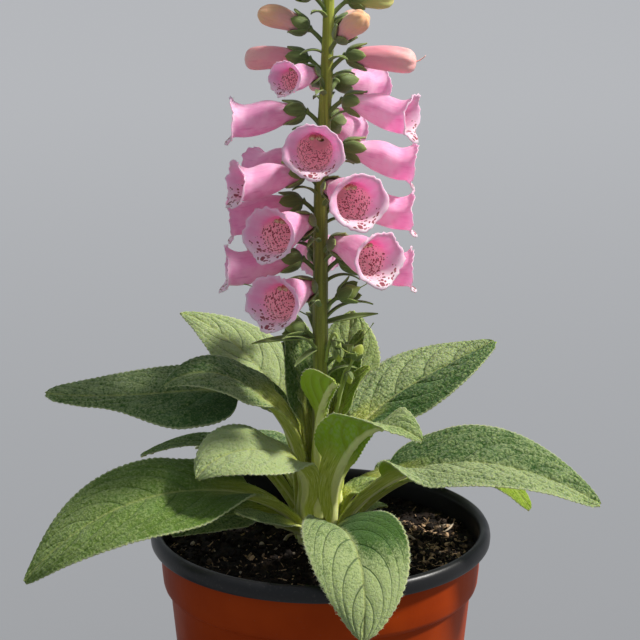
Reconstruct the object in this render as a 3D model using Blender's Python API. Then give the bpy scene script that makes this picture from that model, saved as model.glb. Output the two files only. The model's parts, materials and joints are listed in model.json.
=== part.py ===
"""Potted foxglove: a formed plastic pot, its soil, and the plant with its leaves, stem, bells and buds."""

import math

import bmesh
import bpy
from mathutils import Vector

MM = 0.001

# Pot, turned about Z. It stands on z = 0.
POT_HEIGHT = 150.0
RIM_RADIUS = 90.0
COLLAR_RADIUS = 85.0
BODY_TOP_RADIUS = 80.0
BASE_RADIUS = 69.6
WALL = 1.4
POT_SIDES = 36
DRAIN_RADIUS = 5.0
DRAIN_CIRCLE = 46.0
DRAIN_COUNT = 6

# Soil, clear of the pot and of the crown by the same small gap.
GAP = 0.35
SOIL_EDGE = 137.5
SOIL_DOME = 3.0
SOIL_SIDES = 24
HOLE_FLOOR = 128.0

# Plant axis: radius at each height of the crown and stem. The stem leans a little to +X.
AXIS_PROFILE = (
    (HOLE_FLOOR + GAP, 8.0),
    (136.0, 10.5),
    (160.0, 10.5),
    (174.0, 7.5),
    (190.0, 4.4),
    (260.0, 4.0),
    (330.0, 3.6),
    (400.0, 3.1),
    (450.0, 2.3),
    (497.0, 0.9),
)
STEM_SIDES = 8
STEM_TIP = 503.0
TIP_BUDS = 16
LEAN = 4.0
LEAN_START = 310.0
LEAN_SPAN = 120.0

# Blooms: reach of the stalk from the axis, and its rise from the stem to the calyx.
BLOOM_SIDES = 10
STALK_REACH = 9.0
STALK_RISE = 8.0
STALK_RADIUS = 1.1
STALK_SIDES = 5
PETAL_WALL = 0.7

# Leaves: thickness under the rib, and the share of it that the blade's edge keeps.
RIB_WALL = 3.0
EDGE_SHARE = 0.27
LEAF_COLUMNS = 4
TOOTH = 1.3

COLOURS = {
    "terracotta": (0.62, 0.13, 0.035, 1.0),
    "soil": (0.035, 0.024, 0.016, 1.0),
    "stem": (0.22, 0.33, 0.07, 1.0),
    "leaf": (0.16, 0.31, 0.09, 1.0),
    "bell": (0.72, 0.24, 0.45, 1.0),
    "bud": (0.75, 0.42, 0.33, 1.0),
    "young_bud": (0.66, 0.58, 0.22, 1.0),
}
ROUGHNESS = {"terracotta": 0.42, "soil": 0.95}


def material(name):
    made = bpy.data.materials.get(name)
    if made is None:
        made = bpy.data.materials.new(name)
        made.use_nodes = True
        shader = made.node_tree.nodes["Principled BSDF"]
        shader.inputs["Base Color"].default_value = COLOURS[name]
        shader.inputs["Roughness"].default_value = ROUGHNESS.get(name, 0.6)
        shader.inputs["Metallic"].default_value = 0.0
    return made


def mesh_object(name, bm, colour, collection=None):
    """Turns a bmesh in millimetres into an object in metres."""
    bmesh.ops.scale(bm, vec=(MM, MM, MM), verts=bm.verts)
    mesh = bpy.data.meshes.new(name)
    bm.to_mesh(mesh)
    bm.free()
    mesh.shade_smooth()
    mesh.set_sharp_from_angle(angle=math.radians(50))
    made = bpy.data.objects.new(name, mesh)
    made.data.materials.append(material(colour))
    (collection or bpy.context.scene.collection).objects.link(made)
    return made


def skin(bm, rings):
    """Joins each ring of points to the next one with faces, and returns the rings of vertices."""
    rows = [[bm.verts.new(point) for point in ring] for ring in rings]
    count = len(rows[0])
    for low, high in zip(rows, rows[1:]):
        for i in range(count):
            j = (i + 1) % count
            bm.faces.new((low[i], low[j], high[j], high[i]))
    return rows


def cap(bm, ring, point=None):
    """Closes a ring with one flat face, or with a fan to a point."""
    if point is None:
        bm.faces.new(ring)
        return
    tip = bm.verts.new(point)
    for i, vertex in enumerate(ring):
        bm.faces.new((vertex, ring[(i + 1) % len(ring)], tip))


def face_out(bm):
    bmesh.ops.recalc_face_normals(bm, faces=bm.faces)


def fuse(obj, collection):
    """Joins every object of the collection to obj with one Boolean, then removes them."""
    union = obj.modifiers.new("fuse", "BOOLEAN")
    union.operation = "UNION"
    union.operand_type = "COLLECTION"
    union.collection = collection
    union.solver = "EXACT"
    bpy.context.view_layer.update()
    graph = bpy.context.evaluated_depsgraph_get()
    joined = bpy.data.meshes.new_from_object(obj.evaluated_get(graph))
    obj.modifiers.clear()
    obj.data = joined
    for part in list(collection.objects):
        bpy.data.objects.remove(part)
    bpy.data.collections.remove(collection)


def smooth_step(value):
    value = min(max(value, 0.0), 1.0)
    return value * value * (3 - 2 * value)


def mix(low, high, share):
    return low + (high - low) * share


def heading(azimuth):
    """Unit vector in the ground plane. Azimuth is in degrees from +X, turning towards +Y."""
    angle = math.radians(azimuth)
    return Vector((math.cos(angle), math.sin(angle), 0))


def axis_point(height):
    lean = LEAN * smooth_step((height - LEAN_START) / LEAN_SPAN)
    return Vector((lean, 0, height))


def axis_radius(height):
    for (low, first), (high, second) in zip(AXIS_PROFILE, AXIS_PROFILE[1:]):
        if height <= high:
            return mix(first, second, (height - low) / (high - low))
    return AXIS_PROFILE[-1][1]


# Pot and soil


def level_ring(radius, height, sides):
    return [heading(360 * i / sides) * radius + Vector((0, 0, height)) for i in range(sides)]


def make_pot():
    lip_foot = POT_HEIGHT - 8.5
    collar_foot = POT_HEIGHT - 22.0
    body_top = POT_HEIGHT - 33.0
    profile = (
        (BASE_RADIUS - 2.5, 0.0),
        (BASE_RADIUS, 3.0),
        (BODY_TOP_RADIUS, body_top),
        (BODY_TOP_RADIUS + 3.0, body_top + 3.5),
        (COLLAR_RADIUS - 0.8, collar_foot),
        (COLLAR_RADIUS, lip_foot + 3.0),
        (RIM_RADIUS - 2.2, lip_foot + 3.0),
        (RIM_RADIUS - 1.9, lip_foot),
        (RIM_RADIUS - 0.3, lip_foot),
        (RIM_RADIUS, POT_HEIGHT - 4.5),
        (RIM_RADIUS - 1.8, POT_HEIGHT - 1.0),
        (RIM_RADIUS - 5.0, POT_HEIGHT),
        (COLLAR_RADIUS - 0.6, POT_HEIGHT - 0.8),
        (COLLAR_RADIUS - WALL, POT_HEIGHT - 3.0),
        (COLLAR_RADIUS - WALL - 0.8, collar_foot),
        (BODY_TOP_RADIUS - WALL, body_top),
        (BASE_RADIUS - WALL - 0.4, 3.4),
        (BASE_RADIUS - WALL - 2.5, WALL + 0.2),
    )
    bm = bmesh.new()
    rows = skin(bm, [level_ring(radius, height, POT_SIDES) for radius, height in profile])
    cap(bm, rows[0][::-1])
    cap(bm, rows[-1])
    face_out(bm)
    pot = mesh_object("pot", bm, "terracotta")
    cutters = bpy.data.collections.new("drain_cutters")
    bpy.context.scene.collection.children.link(cutters)
    for i in range(DRAIN_COUNT):
        centre = heading(360 * (i + 0.5) / DRAIN_COUNT) * DRAIN_CIRCLE
        bm = bmesh.new()
        bmesh.ops.create_cone(
            bm, cap_ends=True, segments=8, radius1=DRAIN_RADIUS, radius2=DRAIN_RADIUS, depth=8
        )
        bmesh.ops.translate(bm, vec=centre, verts=bm.verts)
        cutter = mesh_object(f"drain_cutter_{i}", bm, "terracotta", cutters)
        cutter.hide_render = True
        cutter.display_type = "WIRE"
    drains = pot.modifiers.new("drains", "BOOLEAN")
    drains.operation = "DIFFERENCE"
    drains.operand_type = "COLLECTION"
    drains.collection = cutters
    return pot


def soil_height(x, y):
    """Crumbled surface: a low dome towards the crown with lumps on it."""
    radius = math.hypot(x, y)
    dome = SOIL_DOME * (1 - smooth_step(radius / 70))
    lumps = 1.1 * math.sin(x / 7.3 + 1.7 * math.sin(y / 11.0)) * math.cos(y / 6.1 + x / 17.0)
    return SOIL_EDGE + dome + lumps * smooth_step((radius - 16) / 12)


def make_soil():
    collar_foot = POT_HEIGHT - 22.0
    body_top = POT_HEIGHT - 33.0
    clear = WALL + GAP
    hole = axis_radius(140.0) + GAP
    floor = (
        (axis_radius(HOLE_FLOOR) + GAP, HOLE_FLOOR),
        (hole, 136.0),
    )
    wall = (
        (COLLAR_RADIUS - 0.8 - clear - 0.3, collar_foot),
        (BODY_TOP_RADIUS - clear - 0.3, body_top),
        (BASE_RADIUS - clear - 1.0, 4.0),
        (BASE_RADIUS - clear - 2.8, WALL + 0.2 + GAP),
    )
    rings = [level_ring(radius, height, SOIL_SIDES) for radius, height in floor]
    edge = COLLAR_RADIUS - 0.4 - clear - 0.4
    for share in (0.0, 0.2, 0.42, 0.64, 0.84, 1.0):
        ring = level_ring(mix(hole, edge, share), 0, SOIL_SIDES)
        rings.append([point + Vector((0, 0, soil_height(point.x, point.y))) for point in ring])
    rings += [level_ring(radius, height, SOIL_SIDES) for radius, height in wall]
    bm = bmesh.new()
    rows = skin(bm, rings)
    cap(bm, rows[0])
    cap(bm, rows[-1][::-1])
    face_out(bm)
    return mesh_object("soil", bm, "soil")


# Leaves

# Each leaf: azimuth and height of its base on the crown and how far it starts from the crown,
# then the two handles and the tip of its rib. On the next line, half width of its blade, roll of
# the blade at its middle and at its tip, fold of its halves, share of its length that is stalk,
# taper (the lower, the nearer to the stalk the blade is widest), and number of rows along the
# blade.
LEAVES = {
    "left_low": (
        (-150, 151, 0.77), (-33, -28, 186), (-101, -54, 202), (-149, -62, 142),
        27, -26, -12, 8, 0.24, 0.8, 10,
    ),
    "left_mid": (
        (174, 157, 0.45), (-14, 12, 254), (-52, 2, 212), (-144, 6, 220),
        22, -25, -18, 8, 0.44, 0.6, 10,
    ),
    "left_back": (
        (134, 165, 0.38), (-7, 18, 206), (-40, 48, 240), (-76, 62, 249),
        21, -10, -6, 12, 0.34, 0.72, 9,
    ),
    "left_high": (
        (-170, 171, 0.57), (-11, -4, 219), (-54, -12, 252), (-80, -20, 232),
        17, -20, -10, 8, 0.46, 0.8, 8,
    ),
    "left_front": (
        (-138, 164, 0.63), (-1, -22, 203), (-48, -45, 216), (-62, -54, 194),
        20, -26, -10, 8, 0.3, 1.1, 8,
    ),
    "left_narrow": (
        (160, 151, 0.10), (-35, 18, 195), (-68, 30, 191), (-98, 38, 175),
        10, -4, 0, 16, 0.42, 0.8, 6,
    ),
    "front": (
        (-72, 145, 0.75), (8, -55, 180), (26, -100, 177), (20, -112, 132),
        26, 0, 2, 4, 0.14, 1.1, 10,
    ),
    "right_long": (
        (-28, 151, 0.42), (41, -22, 201), (91, -30, 204), (143, -36, 174),
        28, 13, 17, 18, 0.26, 0.8, 10,
    ),
    "right_high": (
        (24, 164, 0.70), (8, 11, 206), (46, 28, 218), (94, 48, 237),
        26, 13, 6, 12, 0.31, 1.05, 9,
    ),
    "right_front": (
        (-52, 164, 0.40), (7, -24, 193), (25, -42, 234), (51, -46, 211),
        18, -40, 30, 24, 0.3, 0.85, 8,
    ),
    "back_tall": (
        (76, 171, 0.32), (8, 31, 194), (15, 54, 228), (17, 64, 249),
        15, 0, 0, 8, 0.34, 0.9, 7,
    ),
    "small_front": (
        (-96, 179, 0.54), (-2, -11, 205), (0, -18, 226), (8, -40, 240),
        13, -42, -42, 24, 0.5, 0.8, 6,
    ),
    "right_low": (
        (4, 145, 0.39), (40, 10, 180), (89, 6, 195), (111, -4, 159),
        12, 10, 10, 8, 0.36, 0.8, 7,
    ),
    "left_soil": (
        (-178, 145, 0.35), (-27, -8, 163), (-55, -22, 166), (-77, -30, 155),
        13, -14, -8, 8, 0.36, 0.8, 7,
    ),
    "small_right": (
        (-8, 179, 0.51), (8, -2, 203), (12, -2, 231), (25, -4, 237),
        6, 20, 30, 10, 0.5, 0.8, 5,
    ),
    "right_inner": (
        (-14, 158, 0.71), (16, -2, 170), (24, 2, 176), (31, 4, 172),
        8, 0, 0, 12, 0.36, 0.8, 5,
    ),
    "right_soil": (
        (38, 145, 0.38), (17, 11, 154), (28, 15, 156), (36, 18, 153),
        7, 0, 0, 12, 0.4, 0.8, 5,
    ),
    "left_small": (
        (-112, 145, 0.24), (-12, -22, 156), (-28, -34, 165), (-43, -41, 172),
        8, -9, -9, 16, 0.4, 0.8, 5,
    ),
    "back_right_low": (
        (74, 151, 0.36), (22, 41, 164), (74, 64, 166), (108, 80, 150),
        16, 0, 0, 12, 0.34, 0.8, 8,
    ),
    "back_left_low": (
        (120, 151, 0.24), (-17, 35, 178), (-45, 70, 181), (-70, 100, 158),
        22, 0, 0, 12, 0.34, 0.8, 8,
    ),
    "back_low": (
        (92, 145, 0.38), (-4, 40, 174), (-2, 85, 176), (2, 125, 150),
        23, 0, 0, 12, 0.3, 0.8, 8,
    ),
}
STALK_ROWS = 2
STALK_HALF = 6.0
ROOT_HALF = 3.4
RIB_STEPS = 48


def leaf_half_width(along, stalk, half, taper):
    """Half width at a share of the leaf's length: a winged stalk, then an ovate blade."""
    size = mix(0.6, 1.0, min(1.0, half / 20))
    if along <= stalk:
        return mix(ROOT_HALF, STALK_HALF, along / stalk) * size
    blade = (along - stalk) / (1 - stalk)
    wing = STALK_HALF * size * (1 - blade) ** 2
    return wing + (half - 2) * math.sin(math.pi * blade**taper) ** 0.82 + 1.3 * blade


def leaf_rib(seat, near, far, tip):
    """Points, tangents and sideways directions along the rib, at even shares of its length."""
    azimuth, base, clear = seat
    way = heading(azimuth)
    root = axis_point(base) + way * (axis_radius(base) + clear)
    handles = (root, Vector(near), Vector(far), Vector(tip))
    fine = []
    for i in range(RIB_STEPS * 3 + 1):
        t = i / (RIB_STEPS * 3)
        weights = ((1 - t) ** 3, 3 * t * (1 - t) ** 2, 3 * t * t * (1 - t), t**3)
        fine.append(sum((h * w for h, w in zip(handles, weights)), Vector((0, 0, 0))))
    lengths = [0.0]
    for first, second in zip(fine, fine[1:]):
        lengths.append(lengths[-1] + (second - first).length)
    points = []
    index = 0
    for i in range(RIB_STEPS + 1):
        wanted = lengths[-1] * i / RIB_STEPS
        while index < len(fine) - 2 and lengths[index + 1] < wanted:
            index += 1
        share = (wanted - lengths[index]) / (lengths[index + 1] - lengths[index])
        points.append(fine[index].lerp(fine[index + 1], share))
    side = way.cross(Vector((0, 0, 1)))
    rib = []
    for i, point in enumerate(points):
        tangent = (points[min(i + 1, RIB_STEPS)] - points[max(i - 1, 0)]).normalized()
        level = tangent.cross(Vector((0, 0, 1)))
        side = side.lerp(level.normalized(), min(1.0, 0.25 * level.length))
        side = (side - tangent * side.dot(tangent)).normalized()
        rib.append((point, tangent, side.copy()))
    return rib


def leaf_frame(rib, along, roll_middle, roll_tip):
    """Point, tangent, right side and upward normal of the leaf. Roll lifts its left half."""
    step = min(int(along * RIB_STEPS), RIB_STEPS - 1)
    share = along * RIB_STEPS - step
    point, tangent, side = (a.lerp(b, share) for a, b in zip(rib[step], rib[step + 1]))
    normal = side.cross(tangent).normalized()
    side = tangent.cross(normal).normalized()
    if along < 0.5:
        roll = math.radians(roll_middle * smooth_step(along * 2))
    else:
        roll = math.radians(mix(roll_middle, roll_tip, along * 2 - 1))
    turned_side = side * math.cos(roll) - normal * math.sin(roll)
    return point, tangent, turned_side, turned_side.cross(tangent)


def make_leaf(name, facts):
    seat, near, far, tip, half, roll_middle, roll_tip, fold, stalk, taper, count = facts
    rows = [stalk * i / STALK_ROWS for i in range(STALK_ROWS)]
    rows += [stalk + (1 - stalk) * i / count for i in range(count + 1)]
    rib = leaf_rib(seat, near, far, tip)
    bm = bmesh.new()
    thickness = bm.verts.layers.deform.verify()
    grid = bmesh.ops.create_grid(bm, x_segments=LEAF_COLUMNS, y_segments=len(rows) - 1, size=1)
    for vertex in grid["verts"]:
        across = vertex.co.x
        row = round((vertex.co.y + 1) / 2 * (len(rows) - 1))
        along = rows[row]
        point, tangent, side, normal = leaf_frame(rib, along, roll_middle, roll_tip)
        blade = smooth_step((along - stalk * 0.8) / 0.25)
        width = leaf_half_width(along, stalk, half, taper)
        edge = abs(across) > 0.99
        tooth = 0.0
        if edge and stalk < along < 0.99:
            tooth = TOOTH if row % 2 else -0.3 * TOOTH
        channel = mix(12, 38, min(1.0, along / (stalk * 0.6)))
        lift = math.radians(mix(channel, fold, blade))
        wave = 0.06 * half * math.sin(9 * along + (0.9 if across > 0 else 3.1)) * blade
        out = across * (width + tooth) * math.cos(lift)
        up = abs(across) * width * math.sin(lift)
        up += across**2 * (wave - 0.16 * width * blade)
        vertex.co = point + side * out + normal * up + tangent * tooth * 0.8
        if edge:
            share = mix(0.5, EDGE_SHARE, blade)
        elif abs(across) < 0.1:
            share = mix(1.0, 0.4, along)
        else:
            share = mix(0.8, EDGE_SHARE + 0.03, blade)
        vertex[thickness][0] = share
    bmesh.ops.triangulate(bm, faces=bm.faces)
    leaf = mesh_object("leaf_" + name, bm, "leaf")
    leaf.vertex_groups.new(name="thickness")
    solid = leaf.modifiers.new("thickness", "SOLIDIFY")
    solid.thickness = RIB_WALL * MM
    solid.offset = -1
    solid.vertex_group = "thickness"
    return leaf


# Blooms

# Each bloom: height of its calyx, azimuth, droop below the horizon, size and stage.
BLOOMS = {
    "bell_01": (390, -122, -3, 0.78, "opening"),
    "bell_02": (384, 55, 9, 0.92, "open"),
    "bell_03": (376, -21, 9, 1.0, "open"),
    "bell_04": (370, -178, 6, 1.0, "open"),
    "bell_05": (358, -96, -1, 1.04, "open"),
    "bell_06": (365, 75, 17, 0.98, "open"),
    "bell_07": (352, 7, 15, 1.0, "open"),
    "bell_08": (346, 141, 16, 0.98, "open"),
    "bell_09": (333, -68, -1, 1.06, "open"),
    "bell_10": (339, -157, 3, 1.0, "open"),
    "bell_11": (350, 97, 14, 1.0, "open"),
    "bell_12": (324, 0, 9, 1.0, "open"),
    "bell_13": (315, -122, -2, 1.04, "open"),
    "bell_14": (324, 178, 14, 1.0, "open"),
    "bell_15": (323, 66, 15, 1.0, "open"),
    "bell_16": (304, -53, 1, 1.05, "open"),
    "bell_17": (308, 132, 15, 1.0, "open"),
    "bell_18": (294, -175, 5, 1.04, "open"),
    "bell_19": (293, 5, 8, 1.0, "open"),
    "bell_20": (281, -119, -2, 1.06, "open"),
    "bell_21": (296, 92, 16, 1.0, "open"),
    "closed_01": (396, 168, 0, 0.9, "closed"),
    "closed_02": (398, -12, 2, 0.98, "closed"),
    "closed_03": (386, 97, 10, 0.92, "closed"),
    "bud_01": (411, -178, -21, 0.92, "bud"),
    "bud_02": (407, -57, -32, 0.93, "bud"),
    "bud_03": (411, 61, -6, 0.85, "bud"),
    "young_bud_01": (428, -148, -16, 0.72, "young_bud"),
    "young_bud_02": (425, 6, -2, 0.80, "young_bud"),
    "young_bud_03": (429, 118, -24, 0.68, "young_bud"),
}
SPENT = {
    "right": (274, -14, -26, 0.92),
    "left": (257, -160, -20, 0.86),
    "back": (262, 92, -24, 0.88),
    "small_right": (243, -6, -34, 0.66),
    "hooked": (252, -44, 26, 0.46),
}

# Stations of an open bell: distance along its axis, radius, and how far its belly hangs below.
BELL_STATIONS = ((3.6, 3.9, 0.0), (12.0, 5.4, 0.3), (21.0, 6.6, 0.9), (31.5, 7.8, 1.2))
MOUTH_REACH = 37.5
# Five lobes and the five notches between them, from the top round: radius and reach beyond the mouth.
MOUTH = (
    (10.2, -1.0),
    (11.2, 0.4),
    (11.6, -0.6),
    (13.4, 1.0),
    (11.6, 1.4),
    (13.0, 5.4),
    (11.6, 1.4),
    (13.4, 1.0),
    (11.6, -0.6),
    (11.2, 0.4),
)
BUD_STATIONS = ((3.6, 3.9), (12.0, 5.4), (20.0, 6.6), (25.5, 5.6), (28.0, 3.0))
BUD_TIP = 29.5
CLOSED_STATIONS = ((3.6, 3.9), (12.0, 5.4), (22.0, 6.6), (29.0, 6.4), (33.5, 4.2))
CLOSED_TIP = 36.5
CALYX_BASE = (2.2, 4.6)
CALYX_NOTCH = 8.4
CALYX_POINT = 13.0
CALYX_MOUTH = 6.1
CALYX_FLOOR = 3.2
CALYX_WALL = 0.9


def bloom_frame(height, azimuth, droop):
    """Root of the calyx, the bloom's own axis, its upward side and its sideways side."""
    way = heading(azimuth)
    tilt = math.radians(droop)
    forward = way * math.cos(tilt) - Vector((0, 0, math.sin(tilt)))
    side = forward.cross(Vector((0, 0, 1))).normalized()
    up = side.cross(forward)
    root = axis_point(height) + way * STALK_REACH
    return root, forward, up, side


def ring_round(frame, reach, radii, size, hang=0.0):
    """Ring of points round the bloom's axis, starting from its upward side."""
    root, forward, up, side = frame
    count = len(radii)
    ring = []
    for i, radius in enumerate(radii):
        angle = 2 * math.pi * i / count
        reach_here = reach[i] if isinstance(reach, (list, tuple)) else reach
        below = hang * max(0.0, -math.cos(angle))
        out = up * (math.cos(angle) * radius - below) + side * math.sin(angle) * radius
        ring.append(root + (forward * reach_here + out) * size)
    return ring


def make_bell(name, facts):
    height, azimuth, droop, size, stage = facts
    frame = bloom_frame(height, azimuth, droop)
    flare = 0.92 if stage == "opening" else 1.0
    bm = bmesh.new()
    rings = [
        ring_round(frame, reach, [radius] * BLOOM_SIDES, size, hang)
        for reach, radius, hang in BELL_STATIONS
    ]
    reaches = [MOUTH_REACH + reach for _, reach in MOUTH]
    radii = [radius * flare for radius, _ in MOUTH]
    rings.append(ring_round(frame, reaches, radii, size, 0.6))
    rows = skin(bm, rings)
    cap(bm, rows[0][::-1])
    face_out(bm)
    if bm.faces[-1].normal.dot(frame[1]) > 0:
        bmesh.ops.reverse_faces(bm, faces=bm.faces)
    bell = mesh_object(name, bm, "bell")
    solid = bell.modifiers.new("petal", "SOLIDIFY")
    solid.thickness = PETAL_WALL * MM
    solid.offset = -1
    return bell


def make_bud(name, facts):
    height, azimuth, droop, size, stage = facts
    frame = bloom_frame(height, azimuth, droop)
    stations, tip = (CLOSED_STATIONS, CLOSED_TIP) if stage == "closed" else (BUD_STATIONS, BUD_TIP)
    bm = bmesh.new()
    rows = skin(bm, [ring_round(frame, reach, [radius] * BLOOM_SIDES, size) for reach, radius in stations])
    cap(bm, rows[0][::-1])
    cap(bm, rows[-1], frame[0] + (frame[1] * tip - frame[2] * 1.2) * size)
    face_out(bm)
    return mesh_object(name, bm, {"closed": "bell"}.get(stage, stage))


def make_calyx(name, facts, collection):
    """Stalk and five-lobed calyx as one closed body, its stalk's root inside the stem."""
    height, azimuth, droop, size = facts[:4]
    frame = bloom_frame(height, azimuth, droop)
    side = frame[3]
    way = heading(azimuth)
    foot = axis_point(height - STALK_RISE) + way * 1.0
    knee = axis_point(height) + way * (STALK_REACH - 3.2) - Vector((0, 0, 3.0))
    lean = ((foot, way * 0.6), (knee, way * 1.25), (frame[0], frame[1] - Vector((0, 0, 1))))
    stalk = []
    for centre, ahead in lean:
        across = (ahead + Vector((0, 0, 1))).normalized().cross(side)
        ring = []
        for i in range(STALK_SIDES):
            angle = 2 * math.pi * i / STALK_SIDES
            ring.append(centre - (across * math.cos(angle) - side * math.sin(angle)) * STALK_RADIUS)
        stalk.append(ring)
    reach, radius = CALYX_BASE
    rings = [ring_round(frame, reach, [radius] * BLOOM_SIDES, size)]
    lobes = [CALYX_NOTCH if i % 2 else CALYX_POINT for i in range(BLOOM_SIDES)]
    lobe_radii = [CALYX_MOUTH if i % 2 else CALYX_MOUTH + 0.9 for i in range(BLOOM_SIDES)]
    rings.append(ring_round(frame, lobes, lobe_radii, size))
    rings.append(ring_round(frame, [r - 0.5 for r in lobes], [r - CALYX_WALL for r in lobe_radii], size))
    rings.append(ring_round(frame, CALYX_FLOOR, [4.4] * BLOOM_SIDES, size))
    bm = bmesh.new()
    stalk_rows = skin(bm, stalk)
    rows = skin(bm, rings)
    cap(bm, stalk_rows[0][::-1])
    for i in range(STALK_SIDES):
        low, high = stalk_rows[-1][i], stalk_rows[-1][(i + 1) % STALK_SIDES]
        first, middle, last = (rows[0][(2 * i + k) % BLOOM_SIDES] for k in range(3))
        for corners in ((low, middle, first), (low, high, middle), (high, last, middle)):
            bm.faces.new(corners)
    cap(bm, rows[-1])
    face_out(bm)
    mesh_object(name, bm, "stem", collection)


def make_seed_case(name, facts, collection):
    """Egg-shaped seed case on the floor of a calyx whose bell has dropped."""
    height, azimuth, droop, size = facts
    frame = bloom_frame(height, azimuth, droop)
    bm = bmesh.new()
    stations = ((CALYX_FLOOR - 0.6, 2.4), (6.5, 3.9), (10.0, 2.6))
    rows = skin(bm, [ring_round(frame, reach, [radius] * 6, size) for reach, radius in stations])
    cap(bm, rows[0][::-1])
    cap(bm, rows[-1], frame[0] + frame[1] * 14.5 * size)
    face_out(bm)
    mesh_object(name, bm, "stem", collection)


def make_bract(name, height, azimuth, length, half, collection):
    """Narrow pointed leaf under a stalk: it rises from the stem and arches over."""
    way = heading(azimuth)
    side = way.cross(Vector((0, 0, 1)))
    point = axis_point(height) + way * (axis_radius(height) - 1.2)
    bm = bmesh.new()
    rings = []
    shares = (0.0, 0.34, 0.74)
    widths = (0.6, 1.0, 0.6)
    for i, (share, width) in enumerate(zip(shares, widths)):
        tilt = math.radians(48 - 78 * share)
        tangent = way * math.cos(tilt) + Vector((0, 0, math.sin(tilt)))
        if i:
            point = point + tangent * length * (share - shares[i - 1])
        normal = side.cross(tangent).normalized()
        rings.append(
            [
                point + side * half * width + normal * 0.5,
                point + normal * 0.35,
                point - side * half * width + normal * 0.5,
                point - normal * 0.65,
            ]
        )
    rows = skin(bm, rings)
    cap(bm, rows[0][::-1])
    cap(bm, rows[-1], point + tangent * length * 0.26)
    face_out(bm)
    mesh_object(name, bm, "stem", collection)


def make_tip_bud(name, height, azimuth, length, rise, collection):
    """Small green bud near the tip of the stem, its root sunk in the stem."""
    tilt = math.radians(rise)
    way = heading(azimuth)
    forward = way * math.cos(tilt) + Vector((0, 0, math.sin(tilt)))
    side = forward.cross(Vector((0, 0, 1))).normalized()
    frame = (axis_point(height) + way * 0.4, forward, side.cross(forward), side)
    bm = bmesh.new()
    stations = ((0.0, 0.11), (0.42, 0.24), (0.78, 0.22))
    rings = [ring_round(frame, reach, [radius] * 5, length) for reach, radius in stations]
    rows = skin(bm, rings)
    cap(bm, rows[0][::-1])
    cap(bm, rows[-1], frame[0] + forward * length * 1.05)
    face_out(bm)
    mesh_object(name, bm, "stem", collection)


def make_stem():
    bm = bmesh.new()
    rings = []
    for height, radius in AXIS_PROFILE:
        centre = axis_point(height)
        rings.append([centre + heading(360 * i / STEM_SIDES) * radius for i in range(STEM_SIDES)])
    rows = skin(bm, rings)
    cap(bm, rows[0][::-1])
    cap(bm, rows[-1], axis_point(STEM_TIP))
    face_out(bm)
    stem = mesh_object("flower_stem", bm, "stem")
    grown = bpy.data.collections.new("grown_on_stem")
    bpy.context.scene.collection.children.link(grown)
    for name, facts in BLOOMS.items():
        make_calyx("calyx_" + name, facts, grown)
        bract_length = mix(20, 11, (facts[0] - 280) / 150)
        make_bract("bract_" + name, facts[0] - STALK_RISE - 4, facts[1] + 14, bract_length, 1.9, grown)
    for name, facts in SPENT.items():
        make_calyx("calyx_spent_" + name, facts, grown)
        make_seed_case("seed_case_" + name, facts, grown)
        bract_foot = facts[0] - STALK_RISE - 4
        make_bract("bract_spent_" + name, bract_foot, facts[1] + 16, 28 * facts[3], 2.8 * facts[3], grown)
    for i in range(TIP_BUDS):
        share = i / (TIP_BUDS - 1)
        height = mix(436, 492, share**0.9)
        make_tip_bud(f"tip_bud_{i}", height, 137.5 * i, mix(17, 7, share), mix(28, 70, share), grown)
    fuse(stem, grown)
    return stem


def main():
    for obj in list(bpy.data.objects):
        bpy.data.objects.remove(obj)
    make_pot()
    make_soil()
    make_stem()
    for name, facts in LEAVES.items():
        make_leaf(name, facts)
    for name, facts in BLOOMS.items():
        if facts[4] in ("open", "opening"):
            make_bell(name, facts)
        else:
            make_bud(name, facts)


main()
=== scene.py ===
import json
import math
import random

import bmesh
import bpy
from mathutils import Matrix, Vector, noise

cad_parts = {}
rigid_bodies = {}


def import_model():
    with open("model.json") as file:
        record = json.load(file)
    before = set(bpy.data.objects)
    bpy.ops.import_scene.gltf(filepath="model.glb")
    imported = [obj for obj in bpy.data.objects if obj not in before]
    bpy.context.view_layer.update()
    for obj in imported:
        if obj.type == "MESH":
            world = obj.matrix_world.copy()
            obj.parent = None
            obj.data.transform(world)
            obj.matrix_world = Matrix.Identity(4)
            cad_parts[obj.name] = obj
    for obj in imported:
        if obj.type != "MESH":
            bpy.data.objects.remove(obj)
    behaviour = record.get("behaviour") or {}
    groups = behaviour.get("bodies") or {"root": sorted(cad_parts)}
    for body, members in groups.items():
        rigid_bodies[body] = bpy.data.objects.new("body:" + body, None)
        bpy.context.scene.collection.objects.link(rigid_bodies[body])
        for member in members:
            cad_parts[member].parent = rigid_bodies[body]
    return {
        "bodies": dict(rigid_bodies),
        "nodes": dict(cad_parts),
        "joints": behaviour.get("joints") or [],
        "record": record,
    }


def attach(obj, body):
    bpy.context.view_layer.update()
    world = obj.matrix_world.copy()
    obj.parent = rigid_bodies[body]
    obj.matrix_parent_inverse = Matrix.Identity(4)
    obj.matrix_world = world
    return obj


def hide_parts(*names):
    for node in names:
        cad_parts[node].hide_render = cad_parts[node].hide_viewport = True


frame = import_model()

noise.seed_set(7)                            # the drawn cells of the leaves come from this seed
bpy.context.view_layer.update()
print("frame loaded")

# Small sums used by every piece. Lengths are in millimetres, until a piece is finished.


def easeStep(value, low=0.0, high=1.0):
    share = min(max((value - low) / (high - low), 0.0), 1.0)
    return share * share * (3 - 2 * share)


def between(low, high, share):
    return low + (high - low) * share


def bell(value, width):                      # 1 at zero, falling away over the width
    return math.exp(-((value / width) ** 2))


def heading(azimuth):
    angle = math.radians(azimuth)
    return Vector((math.cos(angle), math.sin(angle), 0))


def ringNoise(angle, fine, height):          # noise that closes round a tube
    return noise.noise(Vector((fine * math.cos(angle), fine * math.sin(angle), height)))


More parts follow.
